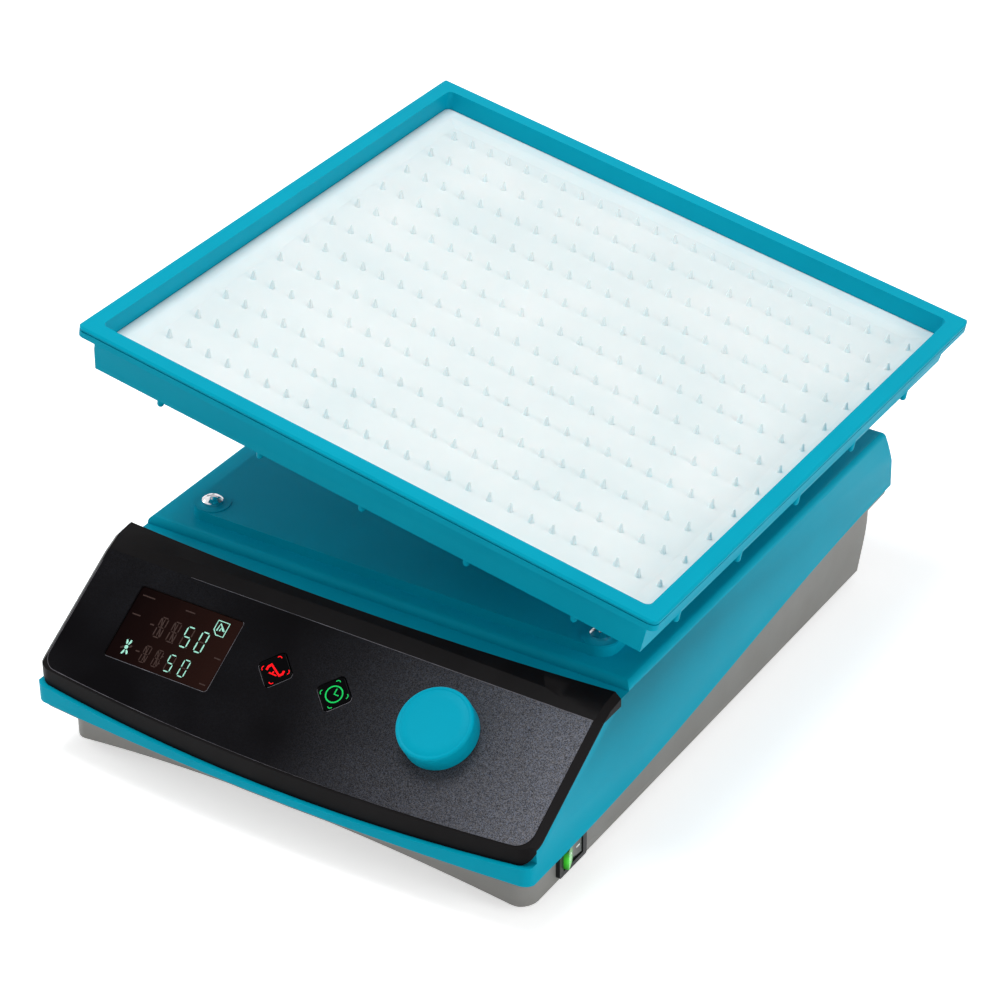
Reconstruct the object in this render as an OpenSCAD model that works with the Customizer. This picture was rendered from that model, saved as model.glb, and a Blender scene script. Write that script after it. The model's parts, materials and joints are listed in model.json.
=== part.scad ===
// Rocking platform shaker: a bench instrument whose square tray rocks like a see-saw
// on a front-to-back pivot above a low moulded housing with a sloping control panel.

/* [Platform tray] */
// Outside width and depth of the square tray over its rim
tray_size = 286.8; // [270:0.2:304]
// Width of the flat top of the rim
rim_w = 7.7; // [6:0.1:10]
// Thickness of the rim flange
rim_t = 5; // [4:0.5:7]
// How far the rim flange stands out beyond the wall
rim_overhang = 4.9; // [4:0.1:6]
// Bevel along the top outer edge of the rim
rim_bevel = 0.8; // [0.4:0.1:1.4]
// Corner radius of the rim
rim_r = 3.5; // [2:0.5:6]
// Height of the tray from rim top to wall bottom
tray_h = 22.8; // [21:0.2:26]
// How much the tray wall draws in towards its bottom edge
tray_draft = 1.9; // [0.5:0.1:3]
// Wall thickness of the tray at its bottom edge
tray_wall = 2.6; // [2:0.1:3.5]
// Thickness of the tray floor
tray_floor = 2.6; // [2:0.1:3.5]
// Pegs under each edge of the tray
peg_count = 5; // [3:1:7]
// Distance between neighbouring pegs
peg_pitch = 52; // [36:1:60]
// Peg diameter
peg_d = 3; // [2.4:0.2:5]
// How far a peg hangs below the wall
peg_l = 5.2; // [4:0.2:10]
// Distance of the front and back pegs' centres from the wall's lower edge
peg_in = 3.6; // [2:0.1:4.5]
// The same for the pegs at the left and right
peg_side_in = 1.3; // [1:0.1:3]

/* [Mat] */
// Thickness of the silicone mat
mat_t = 2; // [1.5:0.1:3]
// Depth from the rim top to the mat
mat_depth = 10.3; // [9:0.1:12]
// Height of the raised bead round the mat's edge
mat_bead_h = 0.9; // [0.5:0.1:1.5]
// Width of the flat crest of the bead
mat_bead_w = 6; // [4:0.5:8]
// Width of the bead's inner slope
mat_slope_w = 6; // [3:0.5:8]
// Least distance of a spike from the mat's edge
spike_margin = 7; // [4:0.5:14]
// Distance between columns
spike_dx = 10.25; // [9:0.05:10.4]
// Distance between rows
spike_dy = 20.5; // [18:0.1:21]
// How far the spike grid lies off centre, to the right
spike_off_x = 4.8; // [0:0.1:5]
// How far the spike grid lies off centre, to the back
spike_off_y = 2.3; // [0:0.1:4]
// Spike height
spike_h = 4.2; // [3:0.1:5]
// Spike diameter at its foot
spike_d = 3; // [2:0.1:4]
// Spike diameter at its tip
spike_tip_d = 0.8; // [0.4:0.1:1.2]

/* [Rocking] */
// Height of the pivot axis above the table
pivot_h = 123; // [120:0.5:126]
// Depth of the pivot axis below the rim top
pivot_depth = 30.9; // [29:0.1:33]
// Tilt of the tray at each end of its travel
rock_angle = 10.5; // [6:0.5:11]
// Diameter of the pivot shaft
shaft_d = 10; // [8:0.5:12]
// Distance between the two pivot stands
stand_span = 100; // [96:1:104]
// Thickness of a pivot stand
stand_t = 6; // [5:0.5:7]
// Height of the crank axis above the table
crank_h = 55; // [52:0.5:57]
// Diameter of the crank roller
roller_d = 11; // [9:0.5:12]
// Extra room beside the roller in the arm's slot
slot_room = 2.2; // [2:0.1:3]
// Thickness of the drive arm
arm_t = 6; // [5:0.5:7]

/* [Housing] */
// Outside width of the cover at its lower edge
cover_w = 250; // [244:1:260]
// Outside width of the cover at its shoulder
shoulder_w = 245; // [240:1:250]
// Front of the cover at its middle, ahead of the pivot
front_y = 208.2; // [204:0.2:214]
// Back of the cover, behind the pivot
rear_y = 122.5; // [118:0.5:126]
// Radius of the back's upright curve
rear_arc_r = 90; // [80:1:110]
// Angle at which the back leans in at its lower edge
rear_lean = 8; // [5:0.1:9]
// Height of the cover's shoulder above the table
shoulder_h = 77; // [75:0.5:78]
// Height of the raised deck above the table
deck_h = 82; // [80:0.5:83]
// Height of the cover's lower edge at the front corners
skirt_front_h = 26.4; // [25:0.2:28]
// Height of the cover's lower edge at the back
skirt_rear_h = 45; // [40:0.5:48]
// Wall thickness of the cover
cover_wall = 2.8; // [2.2:0.1:3.4]
// How much the front edge bows out at its middle
bow_sag = 5.2; // [4:0.1:7]
// Half the width over which the bow is measured
bow_half = 122; // [116:1:126]
// Outside width of the lower housing
tub_w = 234; // [226:1:236]
// Front of the lower housing at its middle
tub_front_y = 196; // [192:0.5:199]
// Back of the lower housing at its floor
tub_rear_y = 103; // [100:0.5:104]
// Angle at which the back wall leans out above the floor
tub_rear_lean = 21; // [16:0.5:21.5]
// Wall thickness of the lower housing
tub_wall = 3; // [2.4:0.1:3.6]
// Height of the rubber feet below the lower housing
foot_h = 4; // [3:0.5:6]

/* [Control panel] */
// Slope of the panel's main face
panel_slope = 31.7; // [30:0.1:33]
// Thickness of the panel
panel_t = 3.4; // [2.8:0.1:4]
// Height of the panel's top edge above the table
panel_top_h = 79.7; // [78:0.1:81]
// Panel's top edge at its middle, ahead of the pivot
panel_top_y = 138.2; // [136:0.2:142]
// Width of the nearly level band along the top edge
band_w = 8.8; // [6:0.2:11]
// Slope of that band
band_slope = 7; // [4:0.5:10]
// Slope of the facet below the band
facet_slope = 25; // [22:0.5:27]
// Where the main face meets the facet at the panel's ends, ahead of the pivot
crease_y = 149; // [147:0.2:151]
// Height of that line above the table
crease_h = 75.4; // [74.6:0.1:76]
// Thickness of the front lip
lip_t = 4; // [3:0.1:5]
// Height of the lip's lower edge above the table, at the middle
lip_h = 30.2; // [30:0.2:33]
// How much higher that edge is at the panel's ends
lip_rise = 5.4; // [3:0.2:6]
// Width of the bevel along the panel's ends
end_bevel_w = 2.7; // [1:0.1:3.2]
// Drop of that bevel
end_bevel_h = 2.8; // [1:0.1:3]
// Width and height of the display window
window_size = [54, 35];
// Middle of the window, from the panel's crease line
window_at = [-70.5, -28.8];
// Side of a key
key_size = 12.6; // [11:0.1:14]
// Middle of the run key
run_key_at = [-18.8, -26.5];
// Middle of the timer key
timer_key_at = [11.5, -27.4];
// Travel of a key
key_travel = 0.6; // [0.4:0.1:1]
// Diameter of the speed knob
knob_d = 33.5; // [28:0.5:36]
// Height of the speed knob
knob_h = 10.5; // [8:0.5:13]
// Middle of the knob
knob_at = [64.3, -27.6];

/* [Fits] */
// Radial running clearance of a shaft in its bush
run_clear = 0.05; // [0.02:0.01:0.1]
// Gap between pieces that are screwed together or slide past each other
gap = 0.3; // [0.2:0.05:0.4]

/* [Hidden] */
$fn = 48;
arc_fn = 1440;                       // the long bows need fine steps
eps = 0.01;

// Places that follow from the sizes above
bow_r = (pow(bow_half, 2) + pow(bow_sag, 2)) / (2 * bow_sag);
rim_half = tray_size / 2;
recess_half = rim_half - rim_w;
wall_half = rim_half - rim_overhang;
rim_z = pivot_depth;                 // heights on the tray are counted from the pivot axis
mat_z = rim_z - mat_depth;
floor_z = mat_z - mat_t;
under_z = floor_z - tray_floor;
wall_z = rim_z - tray_h;
rim_groove = 0.6;
rim_groove_z = rim_bevel + 1.4;      // depth of the groove's lower side under the rim top
boss_l = 5;
carrier_t = 3;
carrier_z = under_z - boss_l;        // top of the carrier plate
carrier_half = [88, 76];
carrier_hole = [62, 62];
screw_d = 4;
shaft_r = shaft_d / 2;

arm_l = pivot_h - crank_h;
crank_r = arm_l * tan(rock_angle);
slot_half = roller_d / 2 + slot_room;
slot_top = arm_l;
slot_end = arm_l + crank_r + 1;
arm_rib = 4.5;

// The seam between cover and lower housing is level at the front and swings up to the back
seam_y0 = -170;
seam_y1 = rear_y + 2.5;
seam_steps = 24;
function skirt_z(y) = skirt_front_h
    + (skirt_rear_h - skirt_front_h) * (1 - cos(180 * (y - seam_y0) / (seam_y1 - seam_y0))) / 2;
tub_floor = 2.6;
tub_z = foot_h;
floor_top = foot_h + tub_floor;
chassis_t = 2;
chassis_z = floor_top + 3.4;         // underside of the chassis plate
chassis_top = chassis_z + chassis_t;
foot_at = [98, 172, 72];             // half spacing across, distance ahead, distance behind
foot_d = 17;
foot_recess = 2.4;                   // depth of the screw's seat in a foot
screw_at = [99.2, 104.5, 96];        // the same for the cover screws
deck_half = 107.7;
deck_front = 113;
deck_rear = 105;
deck_r = 8.5;
groove_y = 121.8;                    // where the shoulder drops to the groove behind the panel
groove_h = 73;
shoulder_r = 3.5;

panel_tan = tan(panel_slope);
function main_z(y) = crease_h + (y + crease_y) * panel_tan;
seat_drop = (panel_t + 0.1) / cos(panel_slope);
panel_front_y = panel_top_y + 68;
nose_y = panel_front_y - lip_t;      // front of the cover's nose under the panel
panel_half = cover_w / 2 + 0.4;
face_half = panel_half - end_bevel_w;
face_drop = bow_r - sqrt(pow(bow_r, 2) - pow(face_half, 2));
lip_r = (pow(panel_half, 2) + pow(lip_rise, 2)) / (2 * lip_rise);
lip_gap = 0.2;
board_z = -11;                       // top of the control board under the panel face
board_t = 1.6;
board_size = [218, 46];
board_at = [0, -30];
post_in = 5;                         // how far the board's posts lie inside its edge
post_mid_x = [-32, 30];              // the two posts between the ends

// Inner parts
block_y = 30;
hub_r = shaft_r + 4.5;
block_half = 15;
block_w = 14;
block_hole_x = [-10.5, 10.5];
bush_lip = 1.5;
ring_t = 1;
ring_r = 4.4;
ring_y = stand_span / 2 + stand_t / 2 + bush_lip + gap + ring_t / 2;
crank_t = 5;
crank_y = arm_t / 2 + 3;             // front face of the crank disc
out_r = 3;
pin_r = 3;
bracket_t = 2;
bracket_y = crank_y + crank_t + 2;   // front face of the bracket
gearbox_y = bracket_y + bracket_t;
gearbox_l = 26;
gearbox_d = 34;
bracket_half = gearbox_d / 2 + 8;
bracket_foot = 22;
bracket_hole = [bracket_half - 9, 14];
motor_d = 32;
motor_l = 44;
eye_r = 11;
bush_r = 7;
stand_half = 36;
stand_neck = 15;
stand_y = stand_span / 2;
stand_foot = 20;
stand_hole = [27.5, stand_t / 2 + 11];
chassis_half = tub_w / 2 - 25;
chassis_front = 88;
chassis_rear = 92;
chassis_holes = [chassis_half - 8, chassis_front - 8, chassis_rear - 8];
chassis_slot = [58, 16, 24];         // the row of slots: distance out, pitch, length
flange_t = 2;
flange_in = 1.6;
lip_over = 4;                        // rim that stands up inside the cover
lip_wall = 2;
// the rim's outside: half width, front and back
rim_at = [cover_w / 2 - cover_wall - gap - 1.5, nose_y - cover_wall - gap, rear_y - cover_wall - gap - 1.5];
arch_r = 650;
arch_rise = 8.3;
arch_depth = 3;
inlet_at = [-62, 25.5];              // across, height above the table
inlet_hole = [27.4, 19.8];
switch_at = [-159, 13.9];            // along, height above the table
switch_hole = [19.4, 12.8];
tower_h = 58;
arm_gap_x = (pivot_h - deck_h + cover_wall) * sin(rock_angle) + (slot_half + arm_rib) * 0.9 + 3;
key_foot = -panel_t - 1.6;           // underside of a key's stem
enc_r = 3;
rocker_l = 14;
rocker_w = 9.6;
rocker_angle = 9;
rocker_pin_x = -1.5;
rocker_pin_r = 1.3;
supply_half = [22, 46];
supply_at = [20 - chassis_half, 24];
supply_z = chassis_top + 6;

// Overall reach, for an origin under the middle of the whole
reach_right = rim_half * cos(rock_angle) + (rim_z - rim_bevel) * sin(rock_angle);
reach_left = rim_half * cos(rock_angle) - (rim_z - rim_t) * sin(rock_angle);
mid_x = (reach_right - reach_left) / 2;
mid_y = (rim_half - front_y) / 2;

teal = "#1098b4";
dark_teal = "#0a86a0";
grey = "#9a9b98";
steel = "#b9bcc0";
black = "#1b1a1c";
brass = "#c9a85a";
green_board = "#1f6b3a";
white = "#eef4f4";

// ---------- placing ----------
module in_row() translate([-mid_x, -mid_y, 0]) children();
module on_rocker() in_row() translate([0, 0, pivot_h]) rotate([0, rock_angle, 0]) children();
module on_panel() in_row() translate([0, -crease_y, crease_h]) rotate([panel_slope, 0, 0]) children();
module along_x(l) rotate([90, 0, 90]) translate([0, 0, -l / 2]) linear_extrude(l) children();
module along_y(l) rotate([90, 0, 0]) translate([0, 0, -l / 2]) linear_extrude(l) children();
module both_x() { children(); mirror([1, 0, 0]) children(); }
module both_y() { children(); mirror([0, 1, 0]) children(); }
module four(dx, front, rear) for (sx = [-1, 1], y = [-front, rear]) translate([sx * dx, y, 0]) children();

// ---------- outlines ----------
module round_rect(half_x, half_y, r) {
    square([2 * half_x, 2 * (half_y - r)], center = true);
    square([2 * (half_x - r), 2 * half_y], center = true);
    for (sx = [-1, 1], sy = [-1, 1]) translate([sx * (half_x - r), sy * (half_y - r)]) circle(r);
}
// A rectangle whose front edge bows out; front and rear are distances from the pivot
module bowed(half_x, front, rear, r_front, r_rear) {
    yc = bow_r - front;
    cx = half_x - r_front;
    cy = yc - sqrt(pow(bow_r - r_front, 2) - pow(cx, 2));
    xt = cx * bow_r / (bow_r - r_front);
    intersection() {
        translate([0, yc]) circle(bow_r, $fn = arc_fn);
        translate([-xt, -front - 1]) square([2 * xt, cy + front + 11]);
    }
    both_x() translate([cx, cy]) circle(r_front);
    translate([-half_x, cy]) square([2 * half_x, rear - r_rear - cy]);
    translate([r_rear - half_x, cy]) square([2 * (half_x - r_rear), rear - cy]);
    both_x() translate([half_x - r_rear, rear - r_rear]) circle(r_rear);
}
module slot2d(l, r) {
    square([2 * r, l], center = true);
    for (s = [-1, 1]) translate([0, s * l / 2]) circle(r);
}
// A block whose four sides lean in from half_top at z1 to half_bottom at z0
module leaning_block(half_top, half_bottom, z0, z1) intersection() {
    along_x(2 * half_top + 2)
        polygon([[-half_bottom, z0], [half_bottom, z0], [half_top, z1], [-half_top, z1]]);
    along_y(2 * half_top + 2)
        polygon([[-half_bottom, z0], [half_bottom, z0], [half_top, z1], [-half_top, z1]]);
}
module pan_screw(d, head_d, head_h, l) {
    translate([0, 0, -l]) cylinder(d = d, h = l + 0.1);
    intersection() {
        cylinder(d = head_d, h = head_h);
        translate([0, 0, head_h - head_d * 0.72]) sphere(head_d * 0.72);
    }
}
// A crossed recess for a pan head
module cross_recess(w, head_h) for (a = [0, 90]) rotate([0, 0, a])
    translate([-w / 2, -w / 8, head_h - 1.4]) cube([w, w / 4, 2]);

// ---------- rocking tray ----------
module platform_tray() color(teal) on_rocker() {
    difference() {
        union() {
            difference() {
                intersection() {
                    translate([0, 0, rim_z - rim_t]) linear_extrude(rim_t) round_rect(rim_half, rim_half, rim_r);
                    leaning_block(rim_half - rim_bevel, rim_half + rim_t, rim_z - rim_t - rim_bevel, rim_z);
                }
                // groove round the edge of the flange
                translate([0, 0, rim_z - rim_groove_z]) linear_extrude(rim_groove) difference() {
                    square(2 * rim_half + 2, center = true);
                    round_rect(rim_half - rim_groove, rim_half - rim_groove, rim_r);
                }
            }
            intersection() {
                leaning_block(wall_half, wall_half - tray_draft, wall_z, rim_z - 1);
                translate([0, 0, wall_z]) linear_extrude(tray_h - 1) round_rect(wall_half, wall_half, rim_r);
            }
        }
        translate([0, 0, floor_z]) linear_extrude(tray_h) round_rect(recess_half, recess_half, rim_r - 0.5);
        translate([0, 0, wall_z - 1]) linear_extrude(under_z - wall_z + 1)
            round_rect(wall_half - tray_draft - tray_wall, wall_half - tray_draft - tray_wall, rim_r - 1);
    }
    tray_ribs();
    both_y() tray_pegs(peg_in);
    both_x() rotate([0, 0, 90]) tray_pegs(peg_side_in);
}
module tray_ribs() {
    rib_half = wall_half - tray_draft - tray_wall + eps;
    rib_h = under_z - wall_z - 2;
    for (a = [0, 90]) rotate([0, 0, a]) for (x = [-100, 100])
        translate([x - 1, -rib_half, under_z - rib_h]) cube([2, 2 * rib_half, rib_h + eps]);
    for (sx = [-1, 1], sy = [-1, 1]) translate([sx * carrier_hole.x, sy * carrier_hole.y, carrier_z])
        difference() {
            cylinder(d = 10, h = boss_l + eps);
            translate([0, 0, -eps]) cylinder(r = screw_d / 2 + run_clear, h = boss_l - 0.5);
        }
}
module tray_pegs(inset) for (i = [0 : peg_count - 1])
    translate([(i - (peg_count - 1) / 2) * peg_pitch, -(wall_half - tray_draft - inset), wall_z - peg_l + peg_d / 2]) {
        cylinder(d = peg_d, h = peg_l - peg_d / 2 + 1.5);
        sphere(d = peg_d);
    }

module dimpled_mat() color(white) on_rocker() {
    half = recess_half - gap;
    difference() {
        translate([0, 0, floor_z]) linear_extrude(mat_t + mat_bead_h) round_rect(half, half, rim_r - 0.5);
        leaning_block(half - mat_bead_w, half - mat_bead_w - mat_slope_w, mat_z, mat_z + mat_bead_h + eps);
    }
    cols = 1 + 2 * floor((half - spike_margin - spike_off_x) / spike_dx);
    rows = 2 * floor((half - spike_margin - spike_off_y) / spike_dy + 0.5);
    for (i = [0 : cols - 1], j = [0 : rows - 1])
        translate([(i - (cols - 1) / 2) * spike_dx + spike_off_x,
                   (j - (rows - 1) / 2) * spike_dy + spike_off_y, mat_z - 0.5])
            cylinder(d1 = spike_d, d2 = spike_tip_d, h = spike_h + 0.5, $fn = 16);
}

module carrier_plate() color(steel) on_rocker() translate([0, 0, carrier_z - carrier_t])
    linear_extrude(carrier_t) difference() {
        round_rect(carrier_half.x, carrier_half.y, 8);
        for (sx = [-1, 1], sy = [-1, 1])
            translate([sx * carrier_hole.x, sy * carrier_hole.y]) circle(d = screw_d + 0.4);
        // windows for the tops of the pivot stands
        for (s = [-1, 1]) translate([0, s * stand_span / 2]) round_rect(17, stand_t / 2 + 8, 3);
        for (sx = [-1, 1], sy = [-1, 1]) translate([sx * 44, sy * 30]) circle(d = 24);
        for (x = block_hole_x, y = [-block_y, 0, block_y]) translate([x, y]) circle(d = screw_d + 0.4);
    }
module carrier_screws() color(steel) on_rocker() {
    for (sx = [-1, 1], sy = [-1, 1]) translate([sx * carrier_hole.x, sy * carrier_hole.y, carrier_z - carrier_t])
        rotate([180, 0, 0]) pan_screw(screw_d, 8, 2.6, carrier_t + boss_l - 1);
    for (x = block_hole_x, y = [-block_y, 0, block_y]) translate([x, y, carrier_z])
        pan_screw(screw_d, 7.6, 2.6, carrier_t + 8);
}
// Round hub with a flat top that bears on the carrier plate
module hub2d() {
    translate([-block_half, -2]) square([2 * block_half, carrier_z - carrier_t + 2]);
    intersection() {
        circle(hub_r);
        translate([-20, -20]) square([40, 20]);
    }
}
module shaft_blocks() color(steel) on_rocker() both_y() translate([0, block_y, 0]) difference() {
    along_y(block_w) difference() {
        hub2d();
        circle(shaft_r + 0.02);
    }
    for (x = block_hole_x) translate([x, 0, carrier_z - carrier_t - 9])
        cylinder(r = screw_d / 2 + run_clear, h = 10);
}
module pivot_shaft() color(steel) on_rocker() rotate([90, 0, 0]) {
    half = stand_span / 2 + stand_t / 2 + 8;
    difference() {
        translate([0, 0, -half]) cylinder(r = shaft_r, h = 2 * half);
        for (s = [-1, 1]) translate([0, 0, s * ring_y - ring_t / 2]) difference() {
            cylinder(r = shaft_r + 1, h = ring_t);
            translate([0, 0, -1]) cylinder(r = ring_r - 0.02, h = ring_t + 2);
        }
    }
}
module shaft_rings() color("#55585c") on_rocker() both_y() translate([0, ring_y, 0]) along_y(ring_t - 0.1) difference() {
    circle(shaft_r + 2.6);
    circle(ring_r);
    translate([-2.5, -12]) square([5, 10]);
}
module drive_arm() color("#8d9196") on_rocker() difference() {
    union() {
        along_y(block_w) hub2d();
        along_y(arm_t) {
            polygon([[-hub_r, 0], [hub_r, 0], [slot_half + arm_rib, -slot_top + 6],
                     [slot_half + arm_rib, -slot_end], [-slot_half - arm_rib, -slot_end],
                     [-slot_half - arm_rib, -slot_top + 6]]);
            translate([0, -slot_end]) circle(slot_half + arm_rib);
        }
    }
    along_y(block_w + 2) circle(shaft_r + 0.02);
    along_y(block_w + 2) translate([0, -(slot_top + slot_end) / 2]) slot2d(slot_end - slot_top, slot_half);
    along_y(block_w + 2) translate([0, -38]) slot2d(22, 3.2);
    for (x = block_hole_x) translate([x, 0, -0.5]) cylinder(r = screw_d / 2 + run_clear, h = 12);
}

// ---------- crank and drive ----------
module at_crank() in_row() translate([0, 0, crank_h]) children();
module crank_disc() color(steel) at_crank() translate([0, crank_y + crank_t / 2, 0]) {
    along_y(crank_t) difference() {
        circle(crank_r + 7);
        circle(out_r + 0.02);
        translate([-crank_r, 0]) circle(pin_r + 0.02);
        translate([crank_r * 0.62, 0]) for (a = [-50, 50]) rotate(a) translate([4, 0]) circle(2.6);
    }
}
module crank_pin() color(brass) at_crank() translate([-crank_r, 0, 0]) rotate([90, 0, 0]) {
    translate([0, 0, -crank_y - crank_t]) cylinder(r = pin_r, h = crank_y + crank_t + arm_t / 2 + 1.3);
    translate([0, 0, arm_t / 2 + 1]) cylinder(r = pin_r + 1.6, h = 1.6);
}
module crank_roller() color("#6f7478") at_crank() translate([-crank_r, 0, 0]) along_y(arm_t + 1) difference() {
    circle(roller_d / 2);
    circle(pin_r + run_clear);
}
module output_shaft() color(steel) at_crank() rotate([-90, 0, 0])
    translate([0, 0, crank_y + 0.2]) cylinder(r = out_r, h = gearbox_y + 6 - crank_y);
module gearbox() color("#a7a9ab") at_crank() rotate([-90, 0, 0]) difference() {
    union() {
        translate([0, 0, gearbox_y]) cylinder(d = gearbox_d, h = gearbox_l);
        translate([0, 0, gearbox_y - bracket_t - 0.5]) cylinder(r = 6, h = bracket_t + 1);
    }
    translate([0, 0, 0]) cylinder(r = out_r + run_clear, h = gearbox_y + 7);
}
module motor() color("#3c3f44") at_crank() rotate([-90, 0, 0]) translate([0, 0, gearbox_y + gearbox_l]) {
    cylinder(d = motor_d, h = motor_l);
    translate([0, 0, motor_l - eps]) cylinder(r = 6, h = 3);
    both_x() translate([9, -1.5, motor_l - eps]) cube([0.8, 3, 6]);
}
module motor_bracket() color(steel) in_row() difference() {
    union() {
        translate([-bracket_half, bracket_y, chassis_top])
            cube([2 * bracket_half, bracket_t, crank_h + gearbox_d / 2 + 3 - chassis_top]);
        translate([-bracket_half, bracket_y, chassis_top]) cube([2 * bracket_half, bracket_foot, bracket_t]);
        both_x() translate([bracket_half - bracket_t, bracket_y, chassis_top]) rotate([90, 0, 90])
            linear_extrude(bracket_t) polygon([[0, 0], [bracket_foot, 0], [bracket_t, gearbox_d], [0, gearbox_d]]);
    }
    translate([0, bracket_y - 1, crank_h]) rotate([-90, 0, 0]) cylinder(r = 6 + run_clear, h = bracket_t + 2);
    both_x() translate([bracket_hole.x, bracket_y + bracket_hole.y, chassis_top - 1]) cylinder(d = screw_d + 0.4, h = 4);
}

// ---------- stands ----------
module stand_profile() difference() {
    union() {
        translate([0, pivot_h]) circle(eye_r);
        polygon([[-stand_half, chassis_top], [stand_half, chassis_top], [stand_half, chassis_top + 14],
                 [stand_neck, deck_h - 6], [stand_neck, deck_h + 8], [eye_r, pivot_h], [-eye_r, pivot_h],
                 [-stand_neck, deck_h + 8], [-stand_neck, deck_h - 6], [-stand_half, chassis_top + 14]]);
    }
    translate([0, pivot_h]) circle(bush_r + 0.02);
    translate([0, crank_h]) circle(gearbox_d / 2 + 1.5);
    translate([-gearbox_d / 2 - 1.5, chassis_top - 1]) square([gearbox_d + 3, crank_h - chassis_top + 1]);
    translate([0, (deck_h + pivot_h) / 2 - 1]) circle(6.5);
}
module pivot_stands() color(steel) in_row() both_y() difference() {
    union() {
        translate([0, stand_y, 0]) along_y(stand_t) stand_profile();
        both_x() translate([gearbox_d / 2 + 1.5, stand_y - stand_t / 2, chassis_top])
            cube([stand_half - gearbox_d / 2 - 1.5, stand_t + stand_foot, stand_t - 1]);
    }
    both_x() translate([stand_hole.x, stand_y + stand_hole.y, chassis_top - 1]) cylinder(d = 5.4, h = stand_t + 2);
}
module stand_screws() color("#8f9397") in_row() {
    both_y() both_x() translate([stand_hole.x, stand_y + stand_hole.y, chassis_top + stand_t - 1])
        pan_screw(5, 9, 3.2, stand_t - 1 + chassis_t + 2.4);
    both_x() translate([bracket_hole.x, bracket_y + bracket_hole.y, chassis_top + bracket_t])
        pan_screw(screw_d, 7.6, 2.6, bracket_t + chassis_t + 2);
}
module pivot_bushes() color(brass) in_row() both_y() translate([0, stand_y, pivot_h]) rotate([90, 0, 0]) difference() {
    union() {
        translate([0, 0, -stand_t / 2 - 1]) cylinder(r = bush_r, h = stand_t + 2);
        translate([0, 0, -stand_t / 2 - bush_lip]) cylinder(r = bush_r + 2, h = bush_lip);
    }
    translate([0, 0, -20]) cylinder(r = shaft_r + run_clear, h = 40);
}

// ---------- chassis ----------
module chassis_plate() color("#c3c6c8") in_row() difference() {
    translate([0, (chassis_rear - chassis_front) / 2, chassis_z]) linear_extrude(chassis_t)
        round_rect(chassis_half, (chassis_rear + chassis_front) / 2, 6);
    four(chassis_holes.x, chassis_holes.y, chassis_holes.z) translate([0, 0, chassis_z - 1]) cylinder(d = 4.4, h = 4);
    both_y() both_x() translate([stand_hole.x, stand_y + stand_hole.y, chassis_z - 1]) cylinder(d = 5.4, h = 4);
    both_x() translate([bracket_hole.x, bracket_y + bracket_hole.y, chassis_z - 1]) cylinder(d = 4.4, h = 4);
    for (i = [-1.5 : 0.5]) both_x() translate([chassis_slot.x, i * chassis_slot.y, chassis_z - 1])
        linear_extrude(4) rotate(90) slot2d(chassis_slot.z, 3);
}
module chassis_screws() color("#8f9397") in_row() four(chassis_holes.x, chassis_holes.y, chassis_holes.z)
    translate([0, 0, chassis_top]) pan_screw(screw_d, 7.6, 2.6, chassis_top - floor_top - 1);

// ---------- lower housing ----------
// Side view of everything above the seam, the seam lowered by drop
module above_seam(drop) polygon(concat(
    [[300, 130], [-300, 130], [-300, skirt_front_h - drop]],
    [for (i = [0 : seam_steps]) let (y = seam_y0 + (seam_y1 - seam_y0) * i / seam_steps) [y, skirt_z(y) - drop]],
    [[300, skirt_rear_h - drop]]));
module below_seam(drop) along_x(300) difference() {
    translate([-260, -1]) square([420, 120]);
    above_seam(drop);
}
// Ledge that carries the cover's lower edge
module flange() intersection() {
    translate([0, 0, foot_h]) linear_extrude(80)
        bowed(cover_w / 2 - flange_in, front_y - flange_in, rear_y - flange_in, 6, 8);
    below_seam(0);
    along_x(290) above_seam(flange_t);
}
module tub(inset) intersection() {
    translate([0, 0, tub_z + (inset > 0 ? tub_floor : 0)]) linear_extrude(80)
        bowed(tub_w / 2 - inset, tub_front_y - inset, rear_y - flange_in - 0.5 - inset, 9 - inset, 12 - inset);
    below_seam(inset > 0 ? -20 : 0);
    // the back wall leans out
    along_x(280) translate([tub_rear_y - inset / cos(tub_rear_lean), foot_h])
        polygon([[-320, -5], [-5 * tan(tub_rear_lean), -5], [90 * tan(tub_rear_lean), 90], [-320, 90]]);
}
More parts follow.
